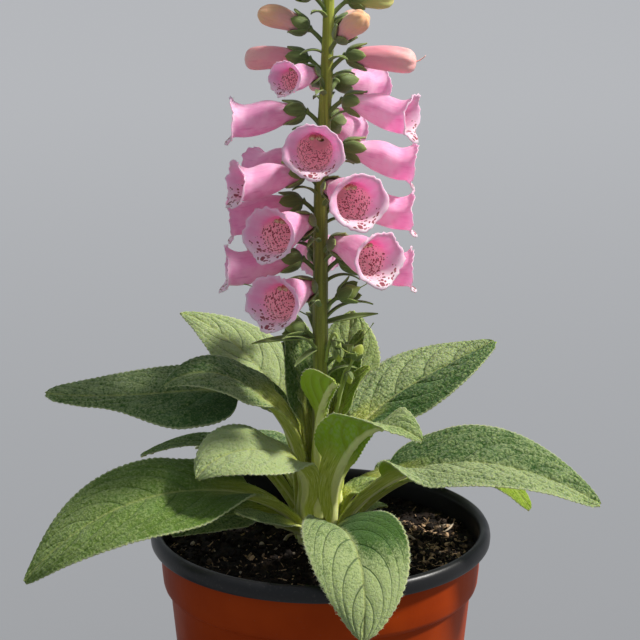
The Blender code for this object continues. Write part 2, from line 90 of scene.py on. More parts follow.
def curveAt(stations, where):                # smooth curve through (place, value) stations
    if where <= stations[0][0]:
        return stations[0][1]
    for i in range(len(stations) - 1):
        (low, first), (high, second) = stations[i], stations[i + 1]
        if where <= high:
            before = stations[max(i - 1, 0)]
            after = stations[min(i + 2, len(stations) - 1)]
            span = high - low
            startSlope = (second - before[1]) / max(high - before[0], 1e-6) * span
            endSlope = (after[1] - first) / max(after[0] - low, 1e-6) * span
            t = (where - low) / span
            return (
                first * (2 * t**3 - 3 * t**2 + 1)
                + startSlope * (t**3 - 2 * t**2 + t)
                + second * (3 * t**2 - 2 * t**3)
                + endSlope * (t**3 - t**2)
            )
    return stations[-1][1]


def alongCurve(handles, t):                  # point of a cubic curve
    weights = ((1 - t) ** 3, 3 * t * (1 - t) ** 2, 3 * t * t * (1 - t), t**3)
    return sum((h * w for h, w in zip(handles, weights)), Vector((0, 0, 0)))


# A material under construction, and the sockets that take part in its sums.


class Wire:
    def __init__(self, finish, socket):
        self.finish = finish
        self.socket = socket

    def maths(self, operation, *others):
        values = dict(enumerate((self,) + others))
        return self.finish.node("Math", {"operation": operation}, values)

    def __add__(self, other):
        return self.maths("ADD", other)

    def __radd__(self, other):
        return self.maths("ADD", other)

    def __sub__(self, other):
        return self.maths("SUBTRACT", other)

    def __rsub__(self, other):
        return self.finish.node("Math", {"operation": "SUBTRACT"}, {0: other, 1: self})

    def __mul__(self, other):
        return self.maths("MULTIPLY", other)

    def __rmul__(self, other):
        return self.maths("MULTIPLY", other)

    def __pow__(self, other):
        return self.maths("POWER", other)

    def size(self):
        return self.maths("ABSOLUTE")

    def fraction(self):
        return self.maths("FRACT")

    def ease(self, low, high):
        limits = {"Value": self, "From Min": low, "From Max": high}
        return self.finish.node("MapRange", {"interpolation_type": "SMOOTHSTEP"}, limits, "Result")


class Finish:
    def __init__(self, name, fixed):
        self.material = bpy.data.materials.new(name)
        self.material.use_nodes = True
        self.tree = self.material.node_tree
        self.shader = self.tree.nodes["Principled BSDF"]
        for socket, value in fixed.items():
            self.shader.inputs[socket].default_value = value

    def node(self, kind, settings, inputs, output=0):
        made = self.tree.nodes.new("ShaderNode" + kind)
        for key, value in settings.items():
            setattr(made, key, value)
        for key, value in inputs.items():
            if isinstance(value, Wire):
                self.tree.links.new(value.socket, made.inputs[key])
            else:
                made.inputs[key].default_value = value
        return Wire(self, made.outputs[output])

    def place(self):
        return self.node("TexCoord", {}, {}, "Object")

    def flat(self):                          # the piece's own map, 1 unit for 100 mm
        return self.node("UVMap", {"uv_map": "map"}, {}, "UV")

    def mark(self, name):
        return self.node("Attribute", {"attribute_name": name}, {}, "Fac")

    def axes(self, where):
        split = self.node("SeparateXYZ", {}, {0: where})
        outputs = split.socket.node.outputs
        return [Wire(self, outputs[i]) for i in range(3)]

    def grain(self, where, scale, detail=3.0, rough=0.55):
        inputs = {"Vector": where, "Scale": scale, "Detail": detail, "Roughness": rough}
        return self.node("TexNoise", {}, inputs)

    def streaks(self, where, stretch, scale, detail=3.0, rough=0.55):
        drawn = self.node("VectorMath", {"operation": "MULTIPLY"}, {0: where, 1: stretch})
        return self.grain(drawn, scale, detail, rough)

    def cells(self, where, scale, output="Distance", scatter=1.0):
        inputs = {"Vector": where, "Scale": scale, "Randomness": scatter}
        return self.node("TexVoronoi", {}, inputs, output)

    def blend(self, share, low, high):
        return self.node("Mix", {"data_type": "RGBA"}, {0: share, 6: low, 7: high}, 2)

    def feed(self, socket, wire):
        self.tree.links.new(wire.socket, self.shader.inputs[socket])

    def relief(self, height, strength, depth):
        inputs = {"Height": height, "Strength": strength, "Distance": depth}
        self.feed("Normal", self.node("Bump", {}, inputs))

    def dress(self, colour, rough, height, strength, depth):
        self.feed("Base Color", colour)
        self.feed("Roughness", rough)
        self.relief(height, strength, depth)


def paint(red, green, blue):
    return (red, green, blue, 1.0)


def living(shine, sheen, sheenRough, share, reach):   # skin of a plant, which light enters
    return {
        "Specular IOR Level": shine, "Sheen Weight": sheen, "Sheen Roughness": sheenRough,
        "Subsurface Weight": share, "Subsurface Radius": reach, "Subsurface Scale": 0.001,
    }


# Pieces are grown from grids: each point of a grid is set in its place by a rule.


def growSheet(bm, columns, rows, place, marks=(), wrap=False):
    layers = [bm.verts.layers.float.get(m) or bm.verts.layers.float.new(m) for m in marks]
    chart = bm.loops.layers.uv.get("map") or bm.loops.layers.uv.new("map")
    grid = bmesh.ops.create_grid(bm, x_segments=columns, y_segments=rows, size=0.5)
    verts = grid["verts"]
    charted = {}
    for vertex in verts:
        u, v = vertex.co.x + 0.5, vertex.co.y + 0.5
        point, charted[vertex], values = place(u, v)
        vertex.co = point
        for layer, value in zip(layers, values):
            vertex[layer] = value
    faces = {face for vertex in verts for face in vertex.link_faces}
    for face in faces:
        face.smooth = True
        for loop in face.loops:
            loop[chart].uv = charted[loop.vert]
    if wrap:
        bmesh.ops.remove_doubles(bm, verts=verts, dist=0.002)
    return [v for v in verts if v.is_valid]


def growTube(bm, centre, radius, columns, rows, light=None):   # light: mark of the green pieces
    points = [centre(i / rows) for i in range(rows + 1)]
    tangents = [
        (points[min(i + 1, rows)] - points[max(i - 1, 0)]).normalized() for i in range(rows + 1)
    ]
    side = tangents[0].orthogonal().normalized()
    sides = []
    for tangent in tangents:
        side = (side - tangent * side.dot(tangent)).normalized()
        sides.append(side.copy())

    def place(u, v):
        i = round(v * rows)
        angle = math.tau * u
        over = sides[i].cross(tangents[i])
        way = over * math.cos(angle) + sides[i] * math.sin(angle)
        marks = (light(v),) if light else ()
        return points[i] + way * radius(i / rows), (u * 0.1, v), marks

    verts = growSheet(bm, columns, rows, place, ("light",) if light else (), wrap=True)
    around = dict.fromkeys(e for v in verts for e in v.link_edges)
    ends = [e for e in around if e.is_boundary]
    bmesh.ops.holes_fill(bm, edges=ends, sides=0)


def closeHoles(bm):
    bmesh.ops.holes_fill(bm, edges=[e for e in bm.edges if e.is_boundary], sides=0)


def meshFrom(bm, name):                      # ends a bmesh and keeps its mesh
    mesh = bpy.data.meshes.new(name)
    bm.to_mesh(mesh)
    bm.free()
    return mesh


def addObject(name, data):
    made = bpy.data.objects.new(name, data)
    bpy.context.scene.collection.objects.link(made)
    return made


def toMetres(bm):
    bmesh.ops.scale(bm, vec=(0.001, 0.001, 0.001), verts=bm.verts)


def finishPiece(name, bm, finishes, slot, *nodes):
    toMetres(bm)
    mesh = meshFrom(bm, name)
    for finish in finishes:
        mesh.materials.append(finish.material)
    piece = addObject(name, mesh)
    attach(piece, "root")
    if nodes:
        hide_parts(*nodes)
    return piece


def titled(name):                            # right_long becomes RightLong
    return "".join(word.capitalize() for word in name.split("_"))


def thicken(piece, thickness, group=None, back=0):
    shell = piece.modifiers.new("thickness", "SOLIDIFY")
    shell.thickness = thickness * 0.001
    shell.offset = -1
    shell.material_offset = back
    if group:
        shell.vertex_group = group


def scatter(bm, template, places):           # copies of a small mesh, each under its own matrix
    rest = [0.0] * (3 * len(template.vertices))
    template.vertices.foreach_get("co", rest)
    for place in places:
        template.transform(place)
        bm.from_mesh(template)
        template.vertices.foreach_set("co", rest)


def facing(point, direction, size, turn=0.0):   # matrix that points +Z along a direction
    direction = direction.normalized()
    spin = Matrix.Rotation(turn, 4, "Z")
    aim = direction.to_track_quat("Z", "Y").to_matrix().to_4x4()
    return Matrix.Translation(point) @ aim @ spin @ Matrix.Diagonal((*size, 1.0))


# Crown and stem: radius at each height, and a slight lean to +X.
stemShape = {
    "profile": (
        (128.35, 8.0), (136.0, 10.4), (160.0, 10.4), (174.0, 7.4), (190.0, 4.4), (260.0, 3.9),
        (330.0, 3.5), (400.0, 3.0), (450.0, 2.2), (497.0, 0.9), (502.5, 0.3),
    ),
    "lean": 4.0,
    "leanStart": 310.0,
    "leanSpan": 120.0,
    "stalkReach": 9.0,                       # from the axis to the foot of a calyx
    "columns": 30,
    "rows": 190,
    "hairs": 2600,
    "hairFoot": 186,
    "hairTop": 488,
}


def axisPoint(height):
    lean = stemShape["lean"] * easeStep((height - stemShape["leanStart"]) / stemShape["leanSpan"])
    return Vector((lean, 0, height))


def axisRadius(height):
    profile = stemShape["profile"]
    for (low, first), (high, second) in zip(profile, profile[1:]):
        if height <= high:
            return between(first, second, (height - low) / (high - low))
    return profile[-1][1]


# Pot: its profile runs from the middle of the floor up the inside and down the outside.
potShape = {
    "steps": 120,
    "profile": (
        (0.0, 3.2), (63.8, 3.2), (66.5, 4.6), (67.7, 8.0), (78.3, 115.4), (80.0, 119.0), (81.6, 121.6),
        (82.4, 127.0), (83.6, 146.0), (84.4, 148.4), (85.6, 149.6), (87.0, 150.0), (88.6, 149.2),
        (89.6, 147.4), (90.0, 145.2), (89.8, 142.6), (89.2, 141.6), (88.2, 141.5), (87.8, 142.6),
        (87.6, 144.2), (86.4, 144.6), (85.3, 143.8), (85.0, 142.4), (84.2, 127.0), (83.6, 120.6),
        (83.0, 118.6), (81.8, 117.4), (80.3, 116.8), (80.0, 115.6), (69.6, 4.0), (67.5, 1.2),
        (64.0, 0.2), (62.0, 0.0), (58.0, 0.0), (56.6, 1.0), (0.0, 1.0),
    ),
    "rimFoot": 141.0,
    "floorTop": 8.0,
    "creaseAngle": 48,
    "drainRadius": 5.0,
    "drainCircle": 46.0,
    "drainCount": 6,
    "orange": paint(0.34, 0.042, 0.003),
    "orangeWorn": paint(0.27, 0.030, 0.002),
    "black": paint(0.010, 0.010, 0.011),
    "dust": paint(0.12, 0.11, 0.10),
}


def makePotFinishes():
    body = Finish("potPlastic", {"Specular IOR Level": 0.06})
    where = body.place()
    cloud = body.grain(where, 18.0)
    streaks = body.streaks(where, (1.0, 1.0, 0.08), 160.0, 2.0)
    colour = body.blend(cloud.ease(0.35, 0.7), potShape["orange"], potShape["orangeWorn"])
    specks = body.grain(where, 900.0, 2.0).ease(0.68, 0.78)
    colour = body.blend(specks * 0.35, colour, potShape["dust"])
    rough = 0.34 + cloud * 0.12 + streaks * 0.1
    body.dress(colour, rough, streaks + body.grain(where, 500.0) * 0.6, 0.25, 0.0004)
    rim = Finish("rimPlastic", {"Specular IOR Level": 0.32})
    where = rim.place()
    cloud = rim.grain(where, 40.0)
    dust = rim.grain(where, 620.0, 4.0).ease(0.55, 0.8) * cloud.ease(0.4, 0.7)
    colour = rim.blend(dust * 0.5, potShape["black"], potShape["dust"])
    rim.dress(colour, 0.26 + cloud * 0.2 + dust * 0.3, rim.grain(where, 700.0), 0.2, 0.0003)
    return body, rim


def makePot():
    bm = bmesh.new()
    points = [bm.verts.new((radius, 0, height)) for radius, height in potShape["profile"]]
    edges = [bm.edges.new(pair) for pair in zip(points, points[1:])]
    bmesh.ops.spin(
        bm, geom=points + edges, cent=(0, 0, 0), axis=(0, 0, 1), angle=math.tau,
        steps=potShape["steps"], use_merge=True,
    )
    bmesh.ops.remove_doubles(bm, verts=bm.verts, dist=0.01)
    bmesh.ops.recalc_face_normals(bm, faces=bm.faces)
    for face in bm.faces:
        middle = face.calc_center_median()
        onFloor = face.normal.z > 0.5 and middle.z < potShape["floorTop"]
        inner = face.normal.xy.dot(middle.xy) < 0 or onFloor
        face.material_index = 1 if middle.z > potShape["rimFoot"] or inner else 0
        face.smooth = True
    pot = finishPiece("potBody", bm, makePotFinishes(), "pot", "pot")
    cutters = []
    for i in range(potShape["drainCount"]):
        bm = bmesh.new()
        size = potShape["drainRadius"]
        bmesh.ops.create_cone(
            bm, cap_ends=True, segments=24, radius1=size, radius2=size, depth=12
        )
        centre = heading(360 * (i + 0.5) / potShape["drainCount"]) * potShape["drainCircle"]
        bmesh.ops.translate(bm, vec=centre, verts=bm.verts)
        toMetres(bm)
        cutter = addObject("drain", meshFrom(bm, "drain"))
        cutters.append(cutter)
        hole = pot.modifiers.new("drain", "BOOLEAN")
        hole.operation = "DIFFERENCE"
        hole.solver = "EXACT"
        hole.object = cutter
    bpy.context.view_layer.update()
    graph = bpy.context.evaluated_depsgraph_get()
    drilled = bpy.data.meshes.new_from_object(pot.evaluated_get(graph))
    pot.modifiers.clear()
    pot.data = drilled
    drilled.set_sharp_from_angle(angle=math.radians(potShape["creaseAngle"]))
    for cutter in cutters:
        bpy.data.objects.remove(cutter)


makePot()
print("pot made")

# Soil: a crumbly surface, with loose crumbs, perlite, bark chips and fine roots on it.
soilShape = {
    "edge": 137.5,
    "dome": 3.0,
    "outer": 82.6,
    "mouth": 9.0,                            # of the hole for the crown
    "side": ((82.2, 134.0), (81.6, 127.0), (78.9, 118.0), (77.6, 115.0), (67.0, 8.0), (64.5, 4.2)),
    "hole": ((10.9, 136.0), (8.4, 128.0)),
    "strewn": (14, 80.5),                    # radii between which loose pieces lie
    "barked": ((-70, 78), (-60, 34)),        # x and y of the part with bark
    "littered": ((24, 78), (-38, 34)),       # x and y of the part where most bark and fibres lie
    "barkEdge": 79,
    "fibreEdge": 80,
    "columns": 180,
    "rows": 66,
    "crumbs": 2600,
    "perlite": 46,
    "chips": 130,
    "fibres": 800,
    "lumps": 150,
    "dark": paint(0.006, 0.004, 0.003),
    "brown": paint(0.036, 0.020, 0.011),
    "straw": paint(0.64, 0.42, 0.24),
    "white": paint(0.55, 0.52, 0.45),
    "tan": paint(0.46, 0.30, 0.15),
    "pale": [                                # perlite that shows from the front: x, y, size
        (-68, -1, 1.7), (-75, -19, 1.2), (-31, -5, 2.0), (-28, -15, 1.3), (-53, -32, 1.0),
        (-41, -38, 1.1), (65, 26, 1.0), (58, 3, 0.9), (63, -11, 1.0), (78, 11, 1.2), (66, -20, 1.1),
    ],
    "roots": [                               # fine pale roots and straws: two ends, rise, radius
        ((-25, -8), (-12, 8), 4.0, 0.9), ((-21, 0), (-13, 9), 2.5, 0.7),
        ((-33, -4), (-28, -8), 2.0, 0.8), ((36, 38), (43, 16), 4.5, 0.9),
        ((47, 15), (50, 2), 3.0, 0.7), ((62, 30), (75, 24), 3.0, 0.7),
        ((66, 20), (77, 30), 2.2, 0.6), ((52, -2), (64, -9), 2.0, 0.5),
        ((-60, 20), (-48, 30), 2.0, 0.5), ((-30, -52), (-18, -60), 1.6, 0.4),
        ((20, -66), (36, -60), 1.6, 0.4), ((10, 60), (28, 66), 2.4, 0.5),
    ],
}


def soilHeight(x, y):
    radius = math.hypot(x, y)
    dome = soilShape["dome"] * (1 - easeStep(radius / 70))
    lumps = 1.1 * math.sin(x / 7.3 + 1.7 * math.sin(y / 11.0)) * math.cos(y / 6.1 + x / 17.0)
    spot = Vector((x / 5.5, y / 5.5, 3.1))
    rough = 1.5 * noise.turbulence(spot, 3, False) - 0.6
    fine = 0.7 * noise.noise(Vector((x / 1.3, y / 1.3, 8.0)))
    return soilShape["edge"] + dome + (lumps + rough + fine) * easeStep((radius - 11) / 9)


def makeSoilFinishes():
    peat = Finish("peat", {"Specular IOR Level": 0.25})
    where = peat.place()
    clumps = peat.grain(where, 260.0, 5.0, 0.7)
    fibres = peat.streaks(where, (1.0, 0.3, 1.0), 900.0, 3.0, 0.7)
    colour = peat.blend(clumps.ease(0.42, 0.72), soilShape["dark"], soilShape["brown"])
    colour = peat.blend(fibres.ease(0.66, 0.78) * 0.5, colour, soilShape["tan"])
    peat.dress(colour, 0.95 - clumps * 0.15, clumps + fibres * 0.5, 0.9, 0.0012)
    perlite = Finish("perlite", {"Base Color": soilShape["white"], "Roughness": 0.9})
    where = perlite.place()
    pits = perlite.grain(where, 1500.0, 3.0)
    perlite.feed("Base Color", perlite.blend(pits, soilShape["tan"], soilShape["white"]))
    perlite.relief(pits, 0.6, 0.0004)
    bark = Finish("bark", {"Roughness": 0.85})
    where = bark.place()
    grain = bark.streaks(where, (1.0, 0.25, 1.0), 1200.0, 3.0)
    bark.feed("Base Color", bark.blend(grain.ease(0.3, 0.7), soilShape["brown"], soilShape["tan"]))
    bark.relief(grain, 0.6, 0.0004)
    fibre = Finish("fibre", {"Roughness": 0.8})
    patches = fibre.cells(fibre.place(), 220.0, "Color")
    shade = fibre.axes(patches)[0].ease(0.1, 0.95)
    fibre.feed("Base Color", fibre.blend(shade, soilShape["brown"], soilShape["straw"]))
    return peat, perlite, bark, fibre


def sinkRing(bm, edges, stations):           # carries a ring of edges through radius and height
    for radius, height in stations:
        made = bmesh.ops.extrude_edge_only(bm, edges=edges)["geom"]
        edges = [g for g in made if isinstance(g, bmesh.types.BMEdge)]
        for vertex in dict.fromkeys(v for e in edges for v in e.verts):
            flat = vertex.co.xy.normalized() * radius
            vertex.co = (flat.x, flat.y, height)


def strew(name, template, finish, places):   # one piece made of copies of a small mesh
    bm = bmesh.new()
    scatter(bm, template, places)
    finishPiece(name, bm, [finish], "soil")


def makeSoil():
    draw = random.Random(11)
    peat, perlite, bark, fibre = makeSoilFinishes()
    bm = bmesh.new()

    def surface(u, v):
        radius = between(soilShape["outer"], soilShape["mouth"], v)
        spot = heading(360 * u) * radius
        spot.z = soilHeight(spot.x, spot.y)
        return spot, (spot.x / 100, spot.y / 100), ()

    columns = soilShape["columns"]
    growSheet(bm, columns, soilShape["rows"], surface, wrap=True)
    rings = sorted((e for e in bm.edges if e.is_boundary), key=lambda e: -e.verts[0].co.xy.length)
    sinkRing(bm, rings[:columns], soilShape["side"])
    sinkRing(bm, rings[columns:], soilShape["hole"])
    closeHoles(bm)
    bmesh.ops.recalc_face_normals(bm, faces=bm.faces)
    finishPiece("soilBed", bm, [peat], "soil", "soil")
    nearest, furthest = soilShape["strewn"]

    def spots(count, low, high, rise=0.3):   # spots on the soil, each with a size, mostly small
        for _ in range(count):
            radius = math.sqrt(draw.uniform(nearest**2, furthest**2))
            spot = heading(draw.uniform(0, 360)) * radius
            size = between(low, high, draw.random() ** 3)
            spot.z = soilHeight(spot.x, spot.y) + size * rise
            yield spot, size

    def spotIn(across, deep):                # flat spot in a box of x and y
        return Vector((draw.uniform(*across), draw.uniform(*deep), 0))

    def tumbled(spot, scale):                # matrix of a piece lying any way up
        way = Vector((draw.gauss(0, 1), draw.gauss(0, 1), draw.gauss(0, 1)))
        return facing(spot, way, scale, draw.uniform(0, 6))

    lump = bmesh.new()
    bmesh.ops.create_icosphere(lump, subdivisions=1, radius=1.0)
    for vertex in lump.verts:
        vertex.co *= draw.uniform(0.75, 1.2)
    crumb = meshFrom(lump, "crumb")
    places = []
    for spot, size in spots(soilShape["crumbs"], 0.5, 2.6):
        shape = (size, size * draw.uniform(0.6, 1.0), size * draw.uniform(0.5, 0.9))
        places.append(tumbled(spot, shape))
    strew("soilCrumbs", crumb, peat, places)
    places = []
    for x, y, size in soilShape["pale"]:
        spot = Vector((x, y, soilHeight(x, y) + size * 0.5))
        places.append(tumbled(spot, (size, size * 0.8, size * 0.7)))
    for spot, size in spots(soilShape["perlite"], 0.35, 1.0, 0.5):
        places.append(tumbled(spot, (size, size * 0.8, size * 0.8)))
    strew("soilPerlite", crumb, perlite, places)
    places = []
    for _ in range(soilShape["lumps"]):
        spot = spotIn(*soilShape["barked"])
        if draw.random() < 0.7:
            spot = spotIn(*soilShape["littered"])
        size = draw.uniform(0.7, 2.4)
        spot.z = soilHeight(spot.x, spot.y) + size * 0.4
        if nearest < spot.xy.length < soilShape["barkEdge"]:
            shape = (size, size * draw.uniform(0.5, 0.9), size * draw.uniform(0.4, 0.8))
            places.append(tumbled(spot, shape))
    strew("soilBark", crumb, fibre, places)
    slab = bmesh.new()
    bmesh.ops.create_cube(slab, size=1.0)
    sliver = meshFrom(slab.copy(), "sliver")
    bmesh.ops.bevel(
        slab, geom=list(slab.edges), offset=0.12, segments=1, profile=0.5, affect="EDGES", material=-1,
    )
    chip = meshFrom(slab, "chip")
    places = []
    for spot, size in spots(soilShape["chips"], 1.2, 5.5, 0.12):
        way = Vector((draw.gauss(0, 0.35), draw.gauss(0, 0.35), 1))
        shape = (size, size * draw.uniform(0.12, 0.4), draw.uniform(0.25, 0.7))
        places.append(facing(spot, way, shape, draw.uniform(0, 6)))
    strew("soilChips", chip, bark, places)
    places = []
    for spot, size in spots(soilShape["fibres"], 1.5, 8.0, 0.06):
        if draw.random() < 0.45:
            spot = spotIn(*soilShape["littered"])
            spot.z = soilHeight(spot.x, spot.y) + draw.uniform(0.3, 1.5)
        if spot.xy.length < soilShape["fibreEdge"]:
            way = Vector((draw.gauss(0, 0.6), draw.gauss(0, 0.6), 1))
            shape = (size, draw.uniform(0.25, 0.8), draw.uniform(0.15, 0.4))
            places.append(facing(spot, way, shape, draw.uniform(0, 6)))
    strew("soilFibres", sliver, fibre, places)
    bm = bmesh.new()
    for (ax, ay), (bx, by), rise, thick in soilShape["roots"]:
        start = Vector((ax, ay, soilHeight(ax, ay) - 0.5))
        end = Vector((bx, by, soilHeight(bx, by) - 0.5))
        sway = (end - start).cross(Vector((0, 0, 1))) * 0.3
        lift = Vector((0, 0, rise))
        firstKnee = start.lerp(end, 0.3) + lift + sway
        lastKnee = start.lerp(end, 0.7) + lift * 0.6 - sway
        handles = (start, firstKnee, lastKnee, end)
        growTube(
            bm, lambda t: alongCurve(handles, t),
            lambda t: thick * (1 - 0.6 * abs(2 * t - 1) ** 3), 6, 16,
        )
    finishPiece("soilRoots", bm, [perlite], "soil")


makeSoil()
print("soil made")

# Down: short pale hairs, gathered while the pieces are grown.
hairShape = {
    "draw": random.Random(5),
    "places": {"leaf": [], "stem": [], "bell": []},
    "radius": 0.055,
    "leafSpacing": 0.75,
    "perStalk": 26,
    "perSepal": 10,
    "colour": paint(0.50, 0.54, 0.34),
}


def growHair(kind, point, way, length):
    draw = hairShape["draw"]
    stray = Vector((draw.gauss(0, 0.35), draw.gauss(0, 0.35), draw.gauss(0, 0.35)))
    size = hairShape["radius"]
    reach = length * draw.uniform(0.5, 1.2)
    start = point - way.normalized() * 0.15
    hairShape["places"][kind].append(facing(start, way.normalized() + stray, (size, size, reach)))


def makeHairs():
    down = Finish("down", {"Base Color": hairShape["colour"], "Roughness": 0.6})
    bm = bmesh.new()
    bmesh.ops.create_cone(bm, cap_ends=True, segments=3, radius1=1.0, radius2=0.0, depth=1.0)
    bmesh.ops.translate(bm, vec=(0, 0, 0.5), verts=bm.verts)
    hair = meshFrom(bm, "hair")
    for kind, places in hairShape["places"].items():
        bm = bmesh.new()
        scatter(bm, hair, places)
        finishPiece(kind + "Down", bm, [down], kind)


# Leaves. Each: azimuth and height of its base and its start from the crown, handles and tip of its
# rib; then half width, roll at its middle and tip, fold, stalk share, taper, tone (0 deep green to
# 1 pale grey-green: partly the leaf's own green, partly painted light and shade over the whole leaf),
# youth (0 to 1 yellow-green) and crinkle (0 smooth to 1 puckered).
leafShape = {
    "spacing": 0.96,                         # of the points of a leaf's grid
    "backSpacing": 1.4,
    "toothLength": 3.1,
    "toothDepth": 0.5,
    "toothMean": 0.45,
    "veinSpacing": 0.56,                     # share of the half width
    "cell": 2.9,                             # size of the small cells between the veins
    "quilt": 0.55,                           # rise of the blade between two side veins
    "pucker": 0.6,                           # rise of a cell
    "ribSteps": 48,
    "sheathFoot": 141.0,                     # height to which a leaf's base runs down the crown
    "sheathMost": 22.0,
    "sheathSink": 1.6,
    "plain": {                               # what a leaf has that the tables below don't name
        "wings": (7.0, 7.0, 1.0, 1.0), "unfold": 0.25, "twist": (0.5, 1.0), "ears": (0.0, 0.0, 1.0),
        "blunt": 0.82, "veined": 0.3, "halves": ((0, 0), (0, 0)), "turning": (0.1, 0.9),
    },
    "wings": {                               # stalk's half width by hand, left half's share low and high
        "right_front": (12.0, 7.0, 0.3, 1.2), "small_front": (5.0, 2.0, 0.16, 0.2),
        "left_front": (9.0, 9.0, 1.0, 1.0), "right_long": (7.0, 6.0, 1.0, 1.0),
        "left_high": (10.0, 10.0, 1.0, 1.0), "left_back": (10.0, 10.0, 1.0, 1.0),
        "left_mid": (5.0, 3.0, 1.4, 0.55),
    },
    "unfold": {"front": 0.85, "left_mid": 0.1},   # share of the leaf in which its channel opens out
    "twist": {"right_front": (0.60, 0.84)},  # where the roll changes
    "ears": {"right_long": (25.0, 0.30, 0.06)},   # lift of the right-hand half, its place and spread
    "blunt": {                               # the lower, the fuller the blade towards both ends
        "right_long": 0.65, "right_high": 0.72, "left_mid": 0.45, "right_low": 0.6,
    },
    "veined": {                              # strength of the side veins: their groove, and the shade painted in it
        "front": 0.8, "left_back": 0.4, "right_high": 0.5, "left_front": 0.05,
    },
    "halves": {                              # painted shading added to the tone at base and tip, right hand then left hand half: below 0 is painted shade, above 0 painted light
        "front": ((-0.5, 0.1), (-2.4, 0.6)), "right_long": ((0.2, 0.3), (-0.6, -0.2)),
        "right_high": ((-0.7, -0.3), (0.1, 0.5)), "left_mid": ((-0.8, 0.3), (-1.0, 0.1)),
        "left_low": ((-0.5, 0.2), (-0.6, 0.1)), "left_high": ((0.1, -0.2), (0.3, 0.1)),
        "left_back": ((0.9, 0.4), (0.7, 0.3)),
    },
    "turning": {"front": (0.42, 0.86)},      # share of the leaf in which that painted shading changes
    "wall": 4.0,                             # thickness where the mark thick is 1
    "deep": paint(0.032, 0.096, 0.012),
    "sage": paint(0.345, 0.420, 0.190),
    # blue: a cast painted into the shaded leaves, standing in for skylight in shade
    "blue": paint(0.042, 0.132, 0.034),
    "young": paint(0.320, 0.440, 0.025),
    "vein": paint(0.380, 0.440, 0.140),
    "edge": paint(0.560, 0.600, 0.330),
    "stalk": paint(0.500, 0.540, 0.095),
    "stalkPale": paint(0.850, 0.850, 0.420),
    "stalkDeep": paint(0.210, 0.280, 0.030),
    "under": paint(0.260, 0.390, 0.012),
}
leafPlan = {
    "left_low": (
        (-150, 151, 0.77), (-33, -28, 186), (-101, -54, 202), (-149, -62, 142),
        27, -26, -12, 8, 0.24, 0.8, 0.35, 0.25, 0.4,
    ),
    "left_mid": (
        (174, 157, 0.45), (-14, 12, 254), (-52, 2, 212), (-144, 6, 220),
        21, -25, -18, 8, 0.44, 0.6, 0.45, 0, 0.35,
    ),
    "left_back": (
        (134, 165, 0.38), (-7, 18, 206), (-40, 48, 240), (-76, 62, 249),
        21, -10, -6, 12, 0.34, 0.72, 1.2, 0, 0.5,
    ),
    "left_high": (
        (-170, 171, 0.57), (-11, -4, 219), (-54, -12, 252), (-80, -20, 232),
        17, -20, -10, 8, 0.46, 0.8, 0.5, 0, 0.35,
    ),
    "left_front": (
        (-138, 164, 0.63), (-1, -22, 203), (-48, -45, 216), (-62, -54, 194),
        20, -26, -10, 8, 0.3, 1.1, 1.4, 0.05, 0.45,
    ),
    "left_narrow": (
        (160, 151, 0.10), (-35, 18, 195), (-68, 30, 191), (-98, 38, 175),
        10, -4, 0, 16, 0.42, 0.8, 0.4, 0.1, 0.4,
    ),
    "front": (
        (-72, 145, 0.75), (8, -55, 180), (26, -100, 177), (20, -112, 132),
        26, 0, 2, 4, 0.14, 1.1, 1.15, 0.08, 0.2,
    ),
    "right_long": (
        (-28, 151, 0.42), (41, -22, 201), (91, -30, 204), (143, -36, 174),
        28, 13, 17, 18, 0.26, 0.8, 0.75, 0, 0.9,
    ),
    "right_high": (
        (24, 164, 0.70), (8, 11, 206), (46, 28, 218), (94, 48, 237),
        26, 13, 6, 12, 0.31, 1.05, 0.6, 0, 1.0,
    ),
    "right_front": (
        (-52, 164, 0.40), (7, -24, 193), (25, -42, 234), (51, -46, 211),
        18, -36, 22, 28, 0.3, 0.75, 0.9, 0.1, 0.4,
    ),
    "back_tall": (
        (76, 171, 0.32), (8, 31, 194), (15, 54, 228), (17, 64, 249),
        19, 0, 0, 8, 0.34, 1.2, 1.5, 0.25, 0.5,
    ),
    "small_front": (
        (-96, 179, 0.54), (-2, -11, 205), (0, -18, 226), (8, -40, 240),
        18, -42, -42, 24, 0.5, 0.8, 0.3, 1.0, 0.3,
    ),
    "right_low": (
        (4, 145, 0.39), (40, 10, 180), (89, 6, 195), (111, -4, 159),
        14, 10, 10, 8, 0.36, 0.9, 0.2, 0.9, 0.4,
    ),
    "left_soil": (
        (-178, 145, 0.35), (-27, -8, 163), (-55, -22, 166), (-77, -30, 155),
        13, -14, -8, 8, 0.36, 0.8, 0.5, 0.1, 0.5,
    ),
    "small_right": (
        (-8, 179, 0.51), (8, -2, 203), (12, -2, 231), (25, -4, 237),
        7, 30, 40, 10, 0.5, 0.8, 0.6, 0.9, 0.3,
    ),
    "right_inner": (
        (-14, 158, 0.71), (16, -2, 170), (24, 2, 176), (31, 4, 172),
        8, 0, 0, 12, 0.36, 0.8, 0.8, 0.3, 0.3,
    ),
    "right_soil": (
        (38, 145, 0.38), (17, 11, 154), (28, 15, 156), (36, 18, 153),
        7, 0, 0, 12, 0.4, 0.8, 0.9, 0.2, 0.3,
    ),
    "left_small": (
        (-112, 145, 0.24), (-12, -22, 156), (-28, -34, 165), (-43, -41, 172),
        8, -9, -9, 16, 0.4, 0.8, 0.7, 0.1, 0.4,
    ),
    "back_right_low": (
        (74, 151, 0.36), (22, 41, 164), (74, 64, 166), (108, 80, 150),
        16, 0, 0, 12, 0.34, 0.8, 0.5, 0, 0.7,
    ),
    "back_left_low": (
        (120, 151, 0.24), (-17, 35, 178), (-45, 70, 181), (-70, 100, 158),
        22, 0, 0, 12, 0.34, 0.8, 0.4, 0, 0.7,
    ),
    "back_low": (
        (92, 145, 0.38), (-4, 40, 174), (-2, 85, 176), (2, 125, 150),
        23, 0, 0, 12, 0.3, 0.8, 0.5, 0, 0.7,
    ),
}
